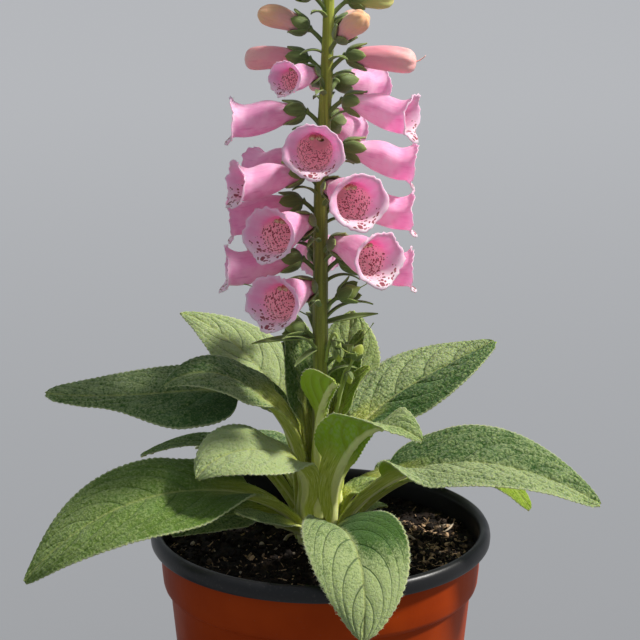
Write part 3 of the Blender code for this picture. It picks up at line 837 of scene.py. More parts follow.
innerPlan = {                                # young leaves of the crown, in the same terms
    "inner_left": (
        (158, 178, 0.4), (-8, 8, 206), (-9, 10, 232), (-19, 14, 246),
        11, 0, 0, 16, 0.4, 0.8, 0.1, 0.1, 0.6,
    ),
    "inner_leftLow": (
        (172, 170, 0.5), (-14, 4, 198), (-20, 6, 222), (-34, 8, 229),
        9, 0, 0, 14, 0.45, 0.8, 0.1, 0.1, 0.5,
    ),
    "inner_back": (
        (128, 180, 0.4), (-5, 10, 210), (-8, 16, 240), (-17, 20, 262),
        11, 0, 0, 16, 0.4, 0.9, 0.5, 0.1, 0.6,
    ),
    "inner_right": (
        (20, 180, 0.4), (8, 4, 206), (13, 8, 232), (22, 14, 252),
        10, 14, 10, 18, 0.4, 0.9, 0.7, 0.5, 0.6,
    ),
}


def leafHalfWidth(along, stalk, half, taper, wing, share, blunt):
    size = between(0.6, 1.0, min(1.0, half / 20))
    if along <= stalk:
        return between(0.6, 1.0, along / stalk) * wing * size
    blade = (along - stalk) / (1 - stalk)
    base = wing * size * (1 - blade) ** 2
    swell = math.sin(math.pi * min(blade, 1.0) ** taper) ** blunt
    return base + (half * share - 2) * swell + 1.3 * blade


def leafRib(seat, near, far, tip):
    azimuth, base, clear = seat
    steps = leafShape["ribSteps"]
    way = heading(azimuth)
    root = axisPoint(base) + way * (axisRadius(base) + clear)
    handles = (root, Vector(near), Vector(far), Vector(tip))
    fine = [alongCurve(handles, i / (steps * 3)) for i in range(steps * 3 + 1)]
    lengths = [0.0]
    for first, second in zip(fine, fine[1:]):
        lengths.append(lengths[-1] + (second - first).length)
    points = []
    index = 0
    for i in range(steps + 1):
        wanted = lengths[-1] * i / steps
        while index < len(fine) - 2 and lengths[index + 1] < wanted:
            index += 1
        share = (wanted - lengths[index]) / (lengths[index + 1] - lengths[index])
        points.append(fine[index].lerp(fine[index + 1], share))
    spacing = lengths[-1] / steps            # the sheath goes on down the crown from the base
    drop = min(base - leafShape["sheathFoot"], leafShape["sheathMost"])
    sheath = max(2, round(drop / spacing))
    for i in range(1, sheath + 1):
        height = base - spacing * i
        sunk = leafShape["sheathSink"] * (base - height) / 20
        points.insert(0, axisPoint(height) + way * (axisRadius(height) + clear - sunk))
    for _ in range(3):
        smoother = list(points)
        for i in range(max(1, sheath - 3), sheath + 4):
            smoother[i] = points[i] * 0.5 + (points[i - 1] + points[i + 1]) * 0.25
        points = smoother
    side = way.cross(Vector((0, 0, 1)))
    rib = []
    last = len(points) - 1
    for i, point in enumerate(points):
        tangent = (points[min(i + 1, last)] - points[max(i - 1, 0)]).normalized()
        level = tangent.cross(Vector((0, 0, 1)))
        side = side.lerp(level.normalized(), min(1.0, 0.25 * level.length))
        side = (side - tangent * side.dot(tangent)).normalized()
        rib.append((point, tangent, side.copy()))
    return rib, sheath, lengths[-1]


def leafFrame(rib, sheath, along, rollMiddle, rollTip, twist):
    where = along * leafShape["ribSteps"] + sheath
    step = min(max(int(where), 0), len(rib) - 2)
    share = where - step
    point, tangent, side = (a.lerp(b, share) for a, b in zip(rib[step], rib[step + 1]))
    normal = side.cross(tangent).normalized()
    side = tangent.cross(normal).normalized()
    if along < 0.5:
        roll = math.radians(rollMiddle * easeStep(along * 2))
    else:
        share = min(max((along - twist[0]) / (twist[1] - twist[0]), 0.0), 1.0)
        roll = math.radians(between(rollMiddle, rollTip, share))
    turned = side * math.cos(roll) - normal * math.sin(roll)
    return point, tangent, turned, turned.cross(tangent)


def leafSurface(name, facts, seed):
    seat, near, far, tip, half, rollMiddle, rollTip, fold, stalk, taper, tone, youth, crinkle = facts
    rib, sheath, length = leafRib(seat, near, far, tip)
    bladeLength = length * (1 - stalk)
    veins = max(4, round(bladeLength / (leafShape["veinSpacing"] * half + 2)))
    climb = min(0.4, 1.7 * half / bladeLength)
    own = {key: leafShape[key].get(name, usual) for key, usual in leafShape["plain"].items()}
    wings, unfold, twist, blunt = own["wings"], own["unfold"], own["twist"], own["blunt"]
    earLift, earPlace, earSpread = own["ears"]
    gap = 0.62 * bladeLength / veins         # between side veins, across them
    sized = min(1.0, half / 18)
    start = -sheath / leafShape["ribSteps"]
    frames = {}

    def place(u, v):
        across, along = 2 * u - 1, between(start, 1.0, v)
        if along not in frames:
            frames[along] = leafFrame(rib, sheath, along, rollMiddle, rollTip, twist)
        point, tangent, side, normal = frames[along]
        below = min(1.0, max(0.0, -along * length / 14))
        along = max(along, 0.0)
        blade = easeStep((along - stalk * 0.8) / 0.25)
        wing, share = wings[0], 1.0
        if across < 0:
            wing, share = wings[1], between(wings[2], wings[3], easeStep(along, 0.6, 0.85))
        width = leafHalfWidth(along, stalk, half, taper, wing, share, blunt) + 2.0 * easeStep(below)
        x = abs(across)
        reach = x * width
        inBlade = max(0.0, (along - stalk * 0.85) / (1 - stalk * 0.85))
        notch = abs(math.sin(math.pi * along * length / leafShape["toothLength"] + across))
        tooth = (leafShape["toothMean"] + leafShape["toothDepth"] * (2 * notch**0.7 - 1)) * sized
        tooth *= x**5 * easeStep((along - stalk * 0.9) / 0.08) * easeStep((0.995 - along) / 0.02)
        channel = between(12, 38, min(1.0, along / (stalk * 0.6))) + 26 * easeStep(below)
        lift = math.radians(between(channel, fold, easeStep((along - stalk * 0.8) / unfold)))
        if across > 0:
            lift += math.radians(earLift) * bell(along - earPlace, earSpread)
        wave = 0.06 * half * math.sin(9 * along + (0.9 if across > 0 else 3.1)) * blade
        out = across * (width + tooth) * math.cos(lift)
        up = x * width * math.sin(lift) + across**2 * (wave - 0.16 * width * blade)
        stagger = 0.0 if across < 0 else 0.33    # the veins of the two halves alternate
        phase = veins * (inBlade - climb * (0.5 * x + 0.9 * x**3)) + stagger + 0.4
        offset = phase - round(phase)
        fromVein = abs(offset) * gap
        sideVein = bell(fromVein, 0.6) * (1 - x**5) * blade
        quilt = (1 - (1 - 2 * abs(offset)) ** 2) * blade * (1 - x**6) * (1 - bell(reach, 2.2))
        spot = Vector((across * width / leafShape["cell"], along * length / leafShape["cell"], seed))
        spot += noise.noise_vector(spot * 0.8) * 0.35
        nearest = noise.voronoi(spot)[0]
        cell = easeStep((nearest[1] - nearest[0]) / 0.45) * blade
        cell *= 1 - 0.8 * sideVein
        midrib = bell(reach, between(0.85, 0.45, along) * (0.6 + 0.4 * sized))
        relief = leafShape["quilt"] * (quilt - 0.35) * sized * blade * between(0.5, 2.0, crinkle)
        relief += leafShape["pucker"] * (cell - 0.5) * (1 - x**9) * blade * crinkle
        relief -= 0.5 * midrib * blade + 0.3 * sideVein
        sway = 0.9 * noise.noise(Vector((across * 1.7, along * 5.0, seed * 3.1))) * blade
        centre = point + side * out + normal * (up + relief + sway * x)
        edge = between(1.2, 0.5, blade)
        ridge = max(0.0, 3.0 * between(1.0, 0.35, along) - edge)
        wide = between(3.0, 1.3, blade) * (0.6 + 0.4 * sized)
        thick = edge + ridge * bell(reach, wide) + 0.5 * sideVein
        chart = (across * width / 100, between(start, 1.0, v) * length / 100)
        # Painted shade and painted light on each half of the leaf, added to its tone and carried in the
        # tone mark.
        paintedShadingHere = between(*own["halves"][0 if across > 0 else 1], easeStep(along, *own["turning"]))
        toneWithShading = tone + paintedShadingHere * easeStep(x, 0.0, 0.15)
        stalky = (1 - blade) * (1 - easeStep(reach, wing * 0.75, wing * 1.4))
        marks = (
            sideVein, cell, stalky, toneWithShading, youth, x, crinkle, phase, gap, own["veined"],
            thick / leafShape["wall"],
        )
        return centre, chart, marks

    return place, length * (1 - start)


leafMarks = (
    "sideVein", "cell", "stalky", "tone", "youth", "rim", "crinkle", "phase", "gap", "veined", "thick",
)


def stalkColour(made, chart, paleShare):
    streaks = made.streaks(chart, (1.0, 0.06, 1.0), 170.0, 3.0, 0.65)
    colour = made.blend(streaks.ease(0.3, 0.5), leafShape["stalkDeep"], leafShape["stalk"])
    return made.blend(streaks.ease(0.52, 0.72) * paleShare, colour, leafShape["stalkPale"])


def makeLeafFinishes():
    soft = living(0.16, 0.08, 0.5, 0.4, (1.0, 1.4, 0.2))
    top = Finish("leafTop", soft)
    chart = top.flat()
    cell = top.mark("cell")
    stalky, tone, youth = top.mark("stalky"), top.mark("tone"), top.mark("youth")
    crinkle, rim = top.mark("crinkle"), top.mark("rim")
    fromVein = ((top.mark("phase") + 0.5).fraction() - 0.5).size() * top.mark("gap")
    vein = (1 - fromVein.ease(0.12, 0.5)) * (1 - rim.ease(0.8, 1.0)) * (1 - stalky) * top.mark("veined")
    fromRib = top.axes(chart)[0].size()
    rib = 1 - fromRib.ease(0.003, 0.009)
    cloud = top.grain(chart, 7.0, 3.0)
    down = top.grain(chart, 85.0, 4.0, 0.7)
    hairs = top.streaks(chart, (1.0, 0.3, 1.0), 200.0, 2.0)
    domes = 1 - top.cells(chart, 52.0, scatter=0.9) ** 2.0
    # The tone mark carries painted light and shade as well as each leaf's own green, so the pale and
    # dark mixes below follow it.
    pale = tone * 0.8 + (down - 0.5) * 2.6 + (hairs - 0.5) * 0.9 + (cloud - 0.5) * 0.9
    pale = pale + (domes - 0.75) * 0.5 + (cell - 0.6) * crinkle * 0.3
    colour = top.blend(pale.ease(-0.25, 1.1), leafShape["deep"], leafShape["sage"])
    # Where the tone is low, a blue-green cast: painted skylight in shade.
    dark = (1 - tone).ease(0.0, 1.0)
    colour = top.blend(dark * cloud.ease(0.45, 0.7) * 0.5, colour, leafShape["blue"])
    colour = top.blend(youth * 0.75, colour, leafShape["young"])
    # The side veins darkened towards deep green: painted shade in their sunken grooves.
    colour = top.blend(vein * 0.8, colour, leafShape["deep"])
    colour = top.blend(rib * 0.55, colour, leafShape["vein"])
    colour = top.blend(stalky * 0.85, colour, stalkColour(top, chart, 0.6))
    channel = 1 - fromRib.ease(0.006, 0.016)
    colour = top.blend(stalky * channel * 0.6, colour, leafShape["stalkPale"])
    edge = rim.ease(0.955, 0.995) * (1 - stalky)
    colour = top.blend(edge * 0.6, colour, leafShape["edge"])
    height = domes * (crinkle + 0.35) + down * 1.6 + hairs * 0.5 - vein * 1.4
    top.dress(colour, 0.62 + down * 0.2, height, 1.0, 0.0008)
    under = Finish("leafUnder", soft)
    chart = under.flat()
    cell, sideVein = under.mark("cell"), under.mark("sideVein")
    keel = 1 - under.axes(chart)[0].size().ease(0.005, 0.015)
    stalky, youth = under.mark("stalky"), under.mark("youth")
    down = under.grain(chart, 130.0, 4.0, 0.7)
    colour = under.blend(cell * (0.3 + down * 0.5), leafShape["under"], leafShape["sage"])
    colour = under.blend(youth * 0.8, colour, leafShape["young"])
    # Side veins darker on the underside: painted shade, as of veins held against light passing through
    # the leaf.
    colour = under.blend(sideVein * 0.45, colour, leafShape["stalkDeep"])
    colour = under.blend(stalky * 0.85, colour, stalkColour(under, chart, 0.7))
    colour = under.blend(keel * 0.6, colour, leafShape["stalkPale"])
    under.dress(colour, 0.65 + down * 0.2, down, 0.35, 0.0004)
    return top, under


def makeLeaves():
    finishes = makeLeafFinishes()
    for seed, (name, facts) in enumerate((leafPlan | innerPlan).items()):
        place, length = leafSurface(name, facts, seed + 0.5)
        half = facts[4]
        spacing = leafShape["backSpacing" if name.startswith("back_") else "spacing"]
        columns = 2 * max(7, round(half / spacing))
        rows = max(40, round(length / spacing))
        bm = bmesh.new()
        weights = bm.verts.layers.deform.verify()
        thick = bm.verts.layers.float.new("thick")
        growSheet(bm, columns, rows, place, leafMarks)
        for vertex in bm.verts:
            vertex[weights][0] = min(1.0, vertex[thick])
        nodes = ["leaf_" + name] if name in leafPlan else []
        leaf = finishPiece("leaf" + titled(name), bm, finishes, "leaf", *nodes)
        leaf.vertex_groups.new(name="thick")
        thicken(leaf, leafShape["wall"], "thick", back=1)
        for edge, inside in ((0.0, 0.05), (1.0, 0.95)):
            for _ in range(round(length / hairShape["leafSpacing"])):
                v = hairShape["draw"].uniform(0.25, 1.0)
                end = place(edge, v)[0]
                growHair("leaf", end, end - place(inside, v)[0], 1.3)


makeLeaves()
print("leaves made")

# Blooms: height of the calyx, azimuth, droop below the horizon, size and stage.
bloomPlan = {
    "bell_01": (390, -122, -3, 0.78, "opening"),
    "bell_02": (384, 55, 9, 0.92, "open"),
    "bell_03": (376, -21, 9, 1.0, "open"),
    "bell_04": (370, -178, 6, 1.0, "open"),
    "bell_05": (358, -96, -1, 1.04, "wide"),
    "bell_06": (365, 75, 17, 0.98, "open"),
    "bell_07": (352, 7, 15, 1.0, "open"),
    "bell_08": (346, 141, 16, 0.98, "open"),
    "bell_09": (333, -68, -1, 1.06, "wide"),
    "bell_10": (339, -157, 3, 1.0, "open"),
    "bell_11": (350, 97, 14, 1.0, "open"),
    "bell_12": (324, 0, 9, 1.0, "open"),
    "bell_13": (315, -122, -2, 1.04, "wide"),
    "bell_14": (324, 178, 14, 1.0, "open"),
    "bell_15": (323, 66, 15, 1.0, "open"),
    "bell_16": (304, -53, 1, 1.05, "wide"),
    "bell_17": (308, 132, 15, 1.0, "open"),
    "bell_18": (294, -175, 5, 1.04, "open"),
    "bell_19": (293, 5, 8, 1.0, "open"),
    "bell_20": (281, -119, -2, 1.06, "wide"),
    "bell_21": (296, 92, 16, 1.0, "open"),
    "closed_01": (396, 168, 0, 0.9, "closed"),
    "closed_02": (398, -12, 2, 0.98, "closed"),
    "closed_03": (386, 97, 10, 0.92, "closed"),
    "bud_01": (411, -178, -21, 0.92, "bud"),
    "bud_02": (407, -57, -32, 0.93, "bud"),
    "bud_03": (411, 61, -6, 0.85, "bud"),
    "young_bud_01": (428, -148, -16, 0.72, "young_bud"),
    "young_bud_02": (425, 6, -2, 0.80, "young_bud"),
    "young_bud_03": (429, 118, -24, 0.68, "young_bud"),
}
spentPlan = {                                # calyxes whose bell has fallen: the last is their spread
    "right": (274, -14, -26, 0.92, 0.16),
    "left": (257, -160, -20, 0.86, 0.06),
    "back": (262, 92, -24, 0.88, 0.06),
    "smallRight": (243, -6, -34, 0.66, 0.06),
    "hooked": (252, -44, 26, 0.46, 0.06),
}
bellShape = {
    "columns": 50,
    "rows": 36,
    "tube": (
        (0.5, 1.2), (1.8, 3.4), (3.6, 3.9), (8.0, 4.4), (12.0, 5.5), (17.0, 7.0), (22.0, 7.7),
        (27.0, 7.6), (31.5, 7.5),
    ),
    "hang": ((3.0, 0.0), (12.0, 0.3), (21.0, 0.9), (31.5, 1.2), (38.0, 0.6)),
    "dip": ((10.0, 0.0), (20.0, 0.2), (29.0, 1.3), (33.0, 1.0), (38.0, -0.6)),
    "tubeEnd": 30.5,
    "tubeRows": 0.62,                        # share of the rows that the tube takes, before the lip
    "mouthReach": 37.5,
    "lipArc": 9.5,
    "lobes": (                               # radius and reach beyond the mouth, from the top round
        (10.2, -1.0), (11.2, 0.4), (11.6, -0.6), (13.4, 1.0), (11.6, 1.4), (13.0, 5.4),
        (11.6, 1.4), (13.4, 1.0), (11.6, -0.6), (11.2, 0.4),
    ),
    "fringe": 70,
    "anther": paint(0.78, 0.62, 0.36),
    "antherDark": paint(0.35, 0.10, 0.10),
    "flare": {"opening": 0.95, "open": 1.0, "wide": 1.14},   # of the mouth, by stage
    "wall": 0.35,
    "pink": paint(0.82, 0.30, 0.50),
    "pinkSun": paint(0.90, 0.43, 0.60),
    "lip": paint(0.90, 0.60, 0.73),
    "nerve": paint(0.60, 0.14, 0.34),
    "throat": paint(0.90, 0.22, 0.46),
    "floor": paint(0.80, 0.42, 0.46),
    "halo": paint(0.92, 0.70, 0.72),
    "spot": paint(0.20, 0.008, 0.024),
    "lipIn": paint(0.86, 0.38, 0.55),
    "lipWhite": paint(0.88, 0.60, 0.70),
}


def bloomFrame(height, azimuth, droop):
    way = heading(azimuth)
    tilt = math.radians(droop)
    forward = way * math.cos(tilt) - Vector((0, 0, math.sin(tilt)))
    side = forward.cross(Vector((0, 0, 1))).normalized()
    up = side.cross(forward)
    root = axisPoint(height) + way * stemShape["stalkReach"]
    return root, forward, up, side


def roundSmooth(values, turn):               # smooth value round a closed ring of stations
    count = len(values)
    where = turn % 1.0 * count
    i = int(where) % count
    t = where - int(where)
    a, b, c, d = (values[(i + k) % count] for k in (-1, 0, 1, 2))
    square, cube = 2 * a - 5 * b + 4 * c - d, 3 * b - a - 3 * c + d
    return 0.5 * (2 * b + (c - a) * t + square * t**2 + cube * t**3)


def bellSurface(frame, size, flare, seed):
    root, forward, up, side = frame
    radii = [r for r, _ in bellShape["lobes"]]
    reaches = [a for _, a in bellShape["lobes"]]
    tubeEnd, tubeRows = bellShape["tubeEnd"], bellShape["tubeRows"]

    def place(u, v):
        angle = math.tau * u
        mouthRadius = roundSmooth(radii, u) * flare
        mouthReach = bellShape["mouthReach"] + roundSmooth(reaches, u)
        rag = ringNoise(angle, 6, seed)
        if v < tubeRows:
            reach = between(0.5, tubeEnd, v / tubeRows)
            radius = curveAt(bellShape["tube"], reach)
            arc = reach
        else:
            f = (v - tubeRows) / (1 - tubeRows)
            start = curveAt(bellShape["tube"], tubeEnd)
            bend = f * math.pi / 2
            reach = between(tubeEnd, mouthReach, math.sin(bend) ** 0.92) - 0.5 * f**6
            radius = between(start, mouthRadius, 0.62 * f + 0.38 * (1 - math.cos(bend)))
            frill = ringNoise(angle, 15, seed + 9)
            radius += (rag * 1.1 + frill * 0.6) * f**3
            reach += (rag * 1.0 - frill * 0.8) * f**3
            arc = tubeEnd + f * bellShape["lipArc"]
        ribs = 0.10 * math.cos(5 * angle) * easeStep(reach / 12)
        swell = 1 + (flare - 1) * easeStep(reach, 16.0, 30.0) * (1 - easeStep(v, 0.7, 1.0))
        dent = 0.12 * ringNoise(angle, 2, reach / 7 + seed)
        radius *= (1 + (ribs + dent) * 0.25) * swell
        below = curveAt(bellShape["hang"], reach) * max(0.0, -math.cos(angle))
        below += curveAt(bellShape["dip"], reach)
        out = up * (math.cos(angle) * radius - below) + side * math.sin(angle) * radius
        point = root + (forward * reach + out) * size
        # The last mark is a painted glow, strongest on bells that point towards the sun (+X).
        return point, ((u - 0.5) * 0.50, arc / 100), (max(0.15, forward.x),)

    return place


def makeBellFinishes():
    petal = living(0.3, 0.2, 0.4, 0.75, (1.8, 1.0, 1.3))
    outer = Finish("petalOutside", petal | {"Emission Strength": 0.16})
    chart = outer.flat()
    y = outer.axes(chart)[1]                 # a tenth of a metre is 1, from the foot to the lip
    streaks = outer.streaks(chart, (1.0, 0.12, 1.0), 90.0, 3.0)
    cloud = outer.grain(chart, 14.0, 2.0)
    colour = outer.blend(cloud.ease(0.3, 0.7), bellShape["pink"], bellShape["pinkSun"])
    colour = outer.blend(streaks.ease(0.5, 0.8) * 0.5, colour, bellShape["nerve"])
    colour = outer.blend((1 - y.ease(0.06, 0.16)) * 0.45, colour, bellShape["lip"])
    colour = outer.blend(y.ease(0.33, 0.40) * 0.65, colour, bellShape["lip"])
    # Painted glow: the outside shines with its own pink, most on bells that point towards the sun,
    # standing in for sunlight through the petals.
    outer.feed("Emission Color", outer.blend(outer.mark("paintedSunGlow"), paint(0, 0, 0), colour))
    outer.dress(colour, 0.5 + streaks * 0.15, streaks, 0.35, 0.0004)
    inner = Finish("petalInside", petal | {"Emission Strength": 0.12})
    chart = inner.flat()
    x, y, _ = inner.axes(chart)
    fromFloor = x.size()                     # 0 along the floor of the bell, 0.25 along its roof
    streaks = inner.streaks(chart, (1.0, 0.15, 1.0), 80.0, 3.0)
    low = 1 - fromFloor.ease(0.12, 0.19)
    deepIn = 1 - y.ease(0.29, 0.335)
    onLip = y.ease(0.28, 0.345)
    colour = inner.blend(streaks.ease(0.3, 0.75) * 0.5, bellShape["throat"], bellShape["nerve"])
    colour = inner.blend(low * 0.9 * deepIn, colour, bellShape["floor"])
    colour = inner.blend(onLip * 0.95, colour, bellShape["lipIn"])
    middle = 1 - fromFloor.ease(0.05, 0.125)
    pale = inner.streaks(chart, (1.0, 0.4, 1.0), 30.0, 2.0).ease(0.4, 0.65) * 0.4
    colour = inner.blend(onLip * (middle * 0.75 + pale), colour, bellShape["lipWhite"])
    colour = inner.blend(y.ease(0.375, 0.402) * 0.5, colour, bellShape["lipWhite"])
    inTube = y.ease(0.06, 0.12) * (1 - y.ease(0.29, 0.34) * 0.95) * low
    onLobe = y.ease(0.22, 0.29) * (1 - y.ease(0.37, 0.40) * 0.8) * middle
    for scale, most, tide in ((90.0, 0.32, inTube), (62.0, 0.32, onLobe)):
        cells = inner.cells(chart, scale, scatter=0.85)
        pick = inner.axes(inner.cells(chart, scale, "Color", scatter=0.85))[0]
        radius = (pick * most + 0.27) * tide
        halo = 1 - (cells - radius).ease(0.05, 0.22)
        colour = inner.blend(halo * tide * 0.6, colour, bellShape["halo"])
        dots = (1 - (cells - radius).ease(-0.03, 0.05)) * tide.ease(0.08, 0.25)
        colour = inner.blend(dots * 0.92, colour, bellShape["spot"])
    # Painted glow in the tube and throat, away from the lip, standing in for light that passes through
    # the petals.
    inner.feed("Emission Color", inner.blend(onLip, colour, paint(0, 0, 0)))
    inner.dress(colour, 0.45 + streaks * 0.2, streaks, 0.3, 0.0004)
    return outer, inner


def petalPiece(name, node, surface, finishes):
    bm = bmesh.new()
    growSheet(bm, bellShape["columns"], bellShape["rows"], surface, ("paintedSunGlow",), wrap=True)
    throat = surface(0.0, 0.0)[0]
    rims = (e for e in bm.edges if e.is_boundary)
    base = sorted(rims, key=lambda e: (e.verts[0].co - throat).length)
    bmesh.ops.holes_fill(bm, edges=base[: bellShape["columns"]], sides=0)
    thicken(finishPiece(name, bm, finishes, "bell", node), bellShape["wall"], back=1)


def makeAntherFinish():
    made = Finish("antherSkin", {"Roughness": 0.7})
    specks = made.grain(made.place(), 2200.0, 2.0).ease(0.5, 0.62)
    made.feed("Base Color", made.blend(specks, bellShape["anther"], bellShape["antherDark"]))
    return made


def growAnthers(bm, frame, size):
    root, forward, up, side = frame
    for way in (-1, 1):
        for reach in (24.0, 28.0):
            start = root + (forward * 9 + up * 1.5 + side * way) * size
            end = root + (forward * reach + up * 4.6 + side * way * 1.6) * size
            knee = start.lerp(end, 0.5) + up * 0.8 * size
            growTube(bm, lambda t: alongCurve((start, knee, knee, end), t), lambda t: 0.32, 6, 8)
            lobe = side * way * 1.5 * size
            growTube(
                bm, lambda t: end + lobe * (2 * t - 1) - up * 0.5 * size,
                lambda t: (0.12 + math.sqrt(max(0.0, 1 - (2 * t - 1) ** 2))) * size, 8, 8,
            )


def makeBells():
    finishes = makeBellFinishes()
    anthers = bmesh.new()
    for seed, (node, facts) in enumerate(bloomPlan.items()):
        height, azimuth, droop, size, stage = facts
        if stage not in bellShape["flare"]:
            continue
        frameHere = bloomFrame(height, azimuth, droop)
        surface = bellSurface(frameHere, size, bellShape["flare"][stage], seed * 1.37)
        petalPiece("petals" + node[5:], node, surface, finishes)
        for _ in range(bellShape["fringe"]):
            u = hairShape["draw"].random()
            end = surface(u, 1.0)[0]
            growHair("bell", end, end - surface(u, 0.96)[0], 1.0)
        growAnthers(anthers, frameHere, size)
    finishPiece("anthers", anthers, [makeAntherFinish()], "bell")


makeBells()
print("bells made")

# Closed bells and buds.
budShape = {
    "closed": (
        (0.5, 1.2), (1.8, 3.2), (3.6, 4.0), (12.0, 5.4), (22.0, 6.5), (29.0, 6.8), (33.4, 6.2),
        (35.6, 4.4), (36.6, 2.0), (36.8, 0.0),
    ),
    "bud": (
        (0.5, 1.2), (1.8, 3.2), (3.6, 3.9), (12.0, 5.4), (20.0, 6.5), (25.5, 5.6), (28.0, 3.6),
        (29.2, 1.8), (29.5, 0.0),
    ),
    "looks": {                               # finish, colours of base, tip and nerves, start of the tip
        "closed": ("closedPetals", "closedPink", "closedWarm", "closedNerve", 0.5),
        "bud": ("peachBud", "peachPink", "peach", "peachNerve", 0.25),
        "young_bud": ("youngBud", "youngGreen", "youngYellow", "youngGreen", 0.25),
    },
    "columns": 48,
    "rows": 56,
    "closedPink": paint(0.84, 0.33, 0.40),
    "closedWarm": paint(0.94, 0.52, 0.46),
    "closedNerve": paint(0.70, 0.16, 0.24),
    "peach": paint(0.92, 0.52, 0.26),
    "peachPink": paint(0.76, 0.38, 0.40),
    "peachNerve": paint(0.62, 0.20, 0.16),
    "style": {"closed_02": ((43, -8, 396), (47, -8.5, 395), (49.5, -9, 396.5), (52, -9, 399))},
    "youngYellow": paint(0.60, 0.56, 0.20),
    "youngGreen": paint(0.34, 0.42, 0.12),
}


def budFinish(name, base, tip, nerve, start):
    made = Finish(name, living(0.35, 0.15, 0.4, 0.35, (1.4, 0.6, 0.5)))
    chart = made.flat()
    y = made.axes(chart)[1]
    streaks = made.streaks(chart, (1.0, 0.12, 1.0), 90.0, 3.0)
    cloud = made.grain(chart, 20.0, 3.0)
    colour = made.blend((y * 2.6 + cloud * 0.5 - start).ease(0.1, 0.9), base, tip)
    colour = made.blend(streaks.ease(0.5, 0.8) * 0.35, colour, nerve)
    dots = 1 - made.cells(chart, 55.0, scatter=0.9).ease(0.1, 0.3)
    colour = made.blend(dots * 0.35 * cloud.ease(0.4, 0.6), colour, nerve)
    made.dress(colour, 0.48 + streaks * 0.15, streaks + cloud * 0.5, 0.35, 0.0004)
    return made


def makeBuds():
    finishes = {
        stage: budFinish(title, *(budShape[shade] for shade in shades), start)
        for stage, (title, *shades, start) in budShape["looks"].items()
    }
    for seed, (node, facts) in enumerate(bloomPlan.items()):
        height, azimuth, droop, size, stage = facts
        if stage in bellShape["flare"]:
            continue
        root, forward, up, side = bloomFrame(height, azimuth, droop)
        stations = budShape["closed" if stage == "closed" else "bud"]
        end = stations[-1][0]

        def place(u, v):
            angle = math.tau * u
            reach = between(0.5, end, 1 - (1 - v) ** 1.25)
            radius = max(0.02, curveAt(stations, reach))
            folds = 0.07 * abs(math.sin(2.5 * angle + 0.4)) ** 3 * easeStep(reach / end, 0.45, 0.95)
            radius *= 1 - folds * 2.2 + 0.04 * ringNoise(angle, 2, reach / 6 + seed)
            droopHere = 1.2 * easeStep(reach / end, 0.5, 1.0)
            out = up * (math.cos(angle) * radius - droopHere) + side * math.sin(angle) * radius
            point = root + (forward * reach + out) * size
            return point, ((u - 0.5) * 0.4, reach / 100), ()

        bm = bmesh.new()
        growSheet(bm, budShape["columns"], budShape["rows"], place, wrap=True)
        bmesh.ops.remove_doubles(bm, verts=bm.verts, dist=0.03)
        closeHoles(bm)
        if node in budShape["style"]:
            ends = [Vector(point) for point in budShape["style"][node]]
            growTube(bm, lambda t: alongCurve(ends, t), lambda t: 0.45 - 0.2 * t, 8, 12)
        slot = "bell" if stage == "closed" else stage
        finishPiece("petals" + titled(node), bm, [finishes[stage]], slot, node)


makeBuds()
print("buds made")

# Stem, stalks, calyxes, bracts, seed cases and the small buds of the tip.
greenShape = {
    "stem": paint(0.180, 0.200, 0.030),
    "stemLight": paint(0.380, 0.420, 0.060),
    "stemRed": paint(0.260, 0.130, 0.040),
    "stemTop": paint(0.440, 0.520, 0.030),
    "stemShade": paint(0.090, 0.105, 0.020),
    "calyx": paint(0.085, 0.125, 0.030),
    "calyxLight": paint(0.260, 0.340, 0.085),
    "tipBuds": 16,
    "tipFoot": 436,
    "tipTop": 492,
    "tipTurn": 137.5,                        # from each bud of the tip to the next
    "longBracts": [                          # height, azimuth, length, half width, rise, fall, roll
        (252, -163, 34, 2.6, 6, 14, -20), (260, -12, 28, 2.2, 20, 14, 35),
        (246, -140, 16, 2.2, -10, 30, -10),
    ],
    "threads": [                             # old styles and the side shoot's stalk: handles, radius
        (((-5, 3, 262), (-20, 2, 270), (-30, -4, 279), (-39, -8, 282.5)), 0.35),
        (((8, -4, 190), (6, -8, 215), (12, -9, 232), (17, -8, 243)), 1.1),
        (((9, -8, 222), (12, -9, 236), (13, -9, 240), (14, -9, 236)), 0.8),
        (((3, -4, 240), (4, -6, 256), (9, -8, 262), (9, -8, 248)), 1.0),
    ],
    "sideBuds": [                            # foot, direction, length
        ((17, -8, 242.5), (0.5, -0.3, 1), 9.5), ((14, -9, 236.5), (0.2, -0.3, -1), 7.0),
        ((9, -8, 249), (0.1, -0.2, -1), 8.0),
    ],
    # Radii along a calyx, along a seed case, and along a bud of the tip as shares of its length.
    "cup": ((0.0, 0.8), (0.8, 2.7), (2.2, 4.5), (5.0, 5.8), (8.4, 6.4), (12.6, 6.7)),
    "sepalLength": 11.8,
    "sepalHalf": 4.1,
    "case": ((2.0, 0.5), (3.0, 2.8), (6.5, 4.6), (10.0, 3.6), (13.0, 1.3), (14.5, 0.5)),
    "egg": ((0.0, 0.09), (0.15, 0.13), (0.42, 0.23), (0.7, 0.235), (0.9, 0.16), (1.04, 0.03)),
    "budGreen": paint(0.360, 0.430, 0.060),
    "calyxWall": 0.6,
    "bractWall": 0.5,
}


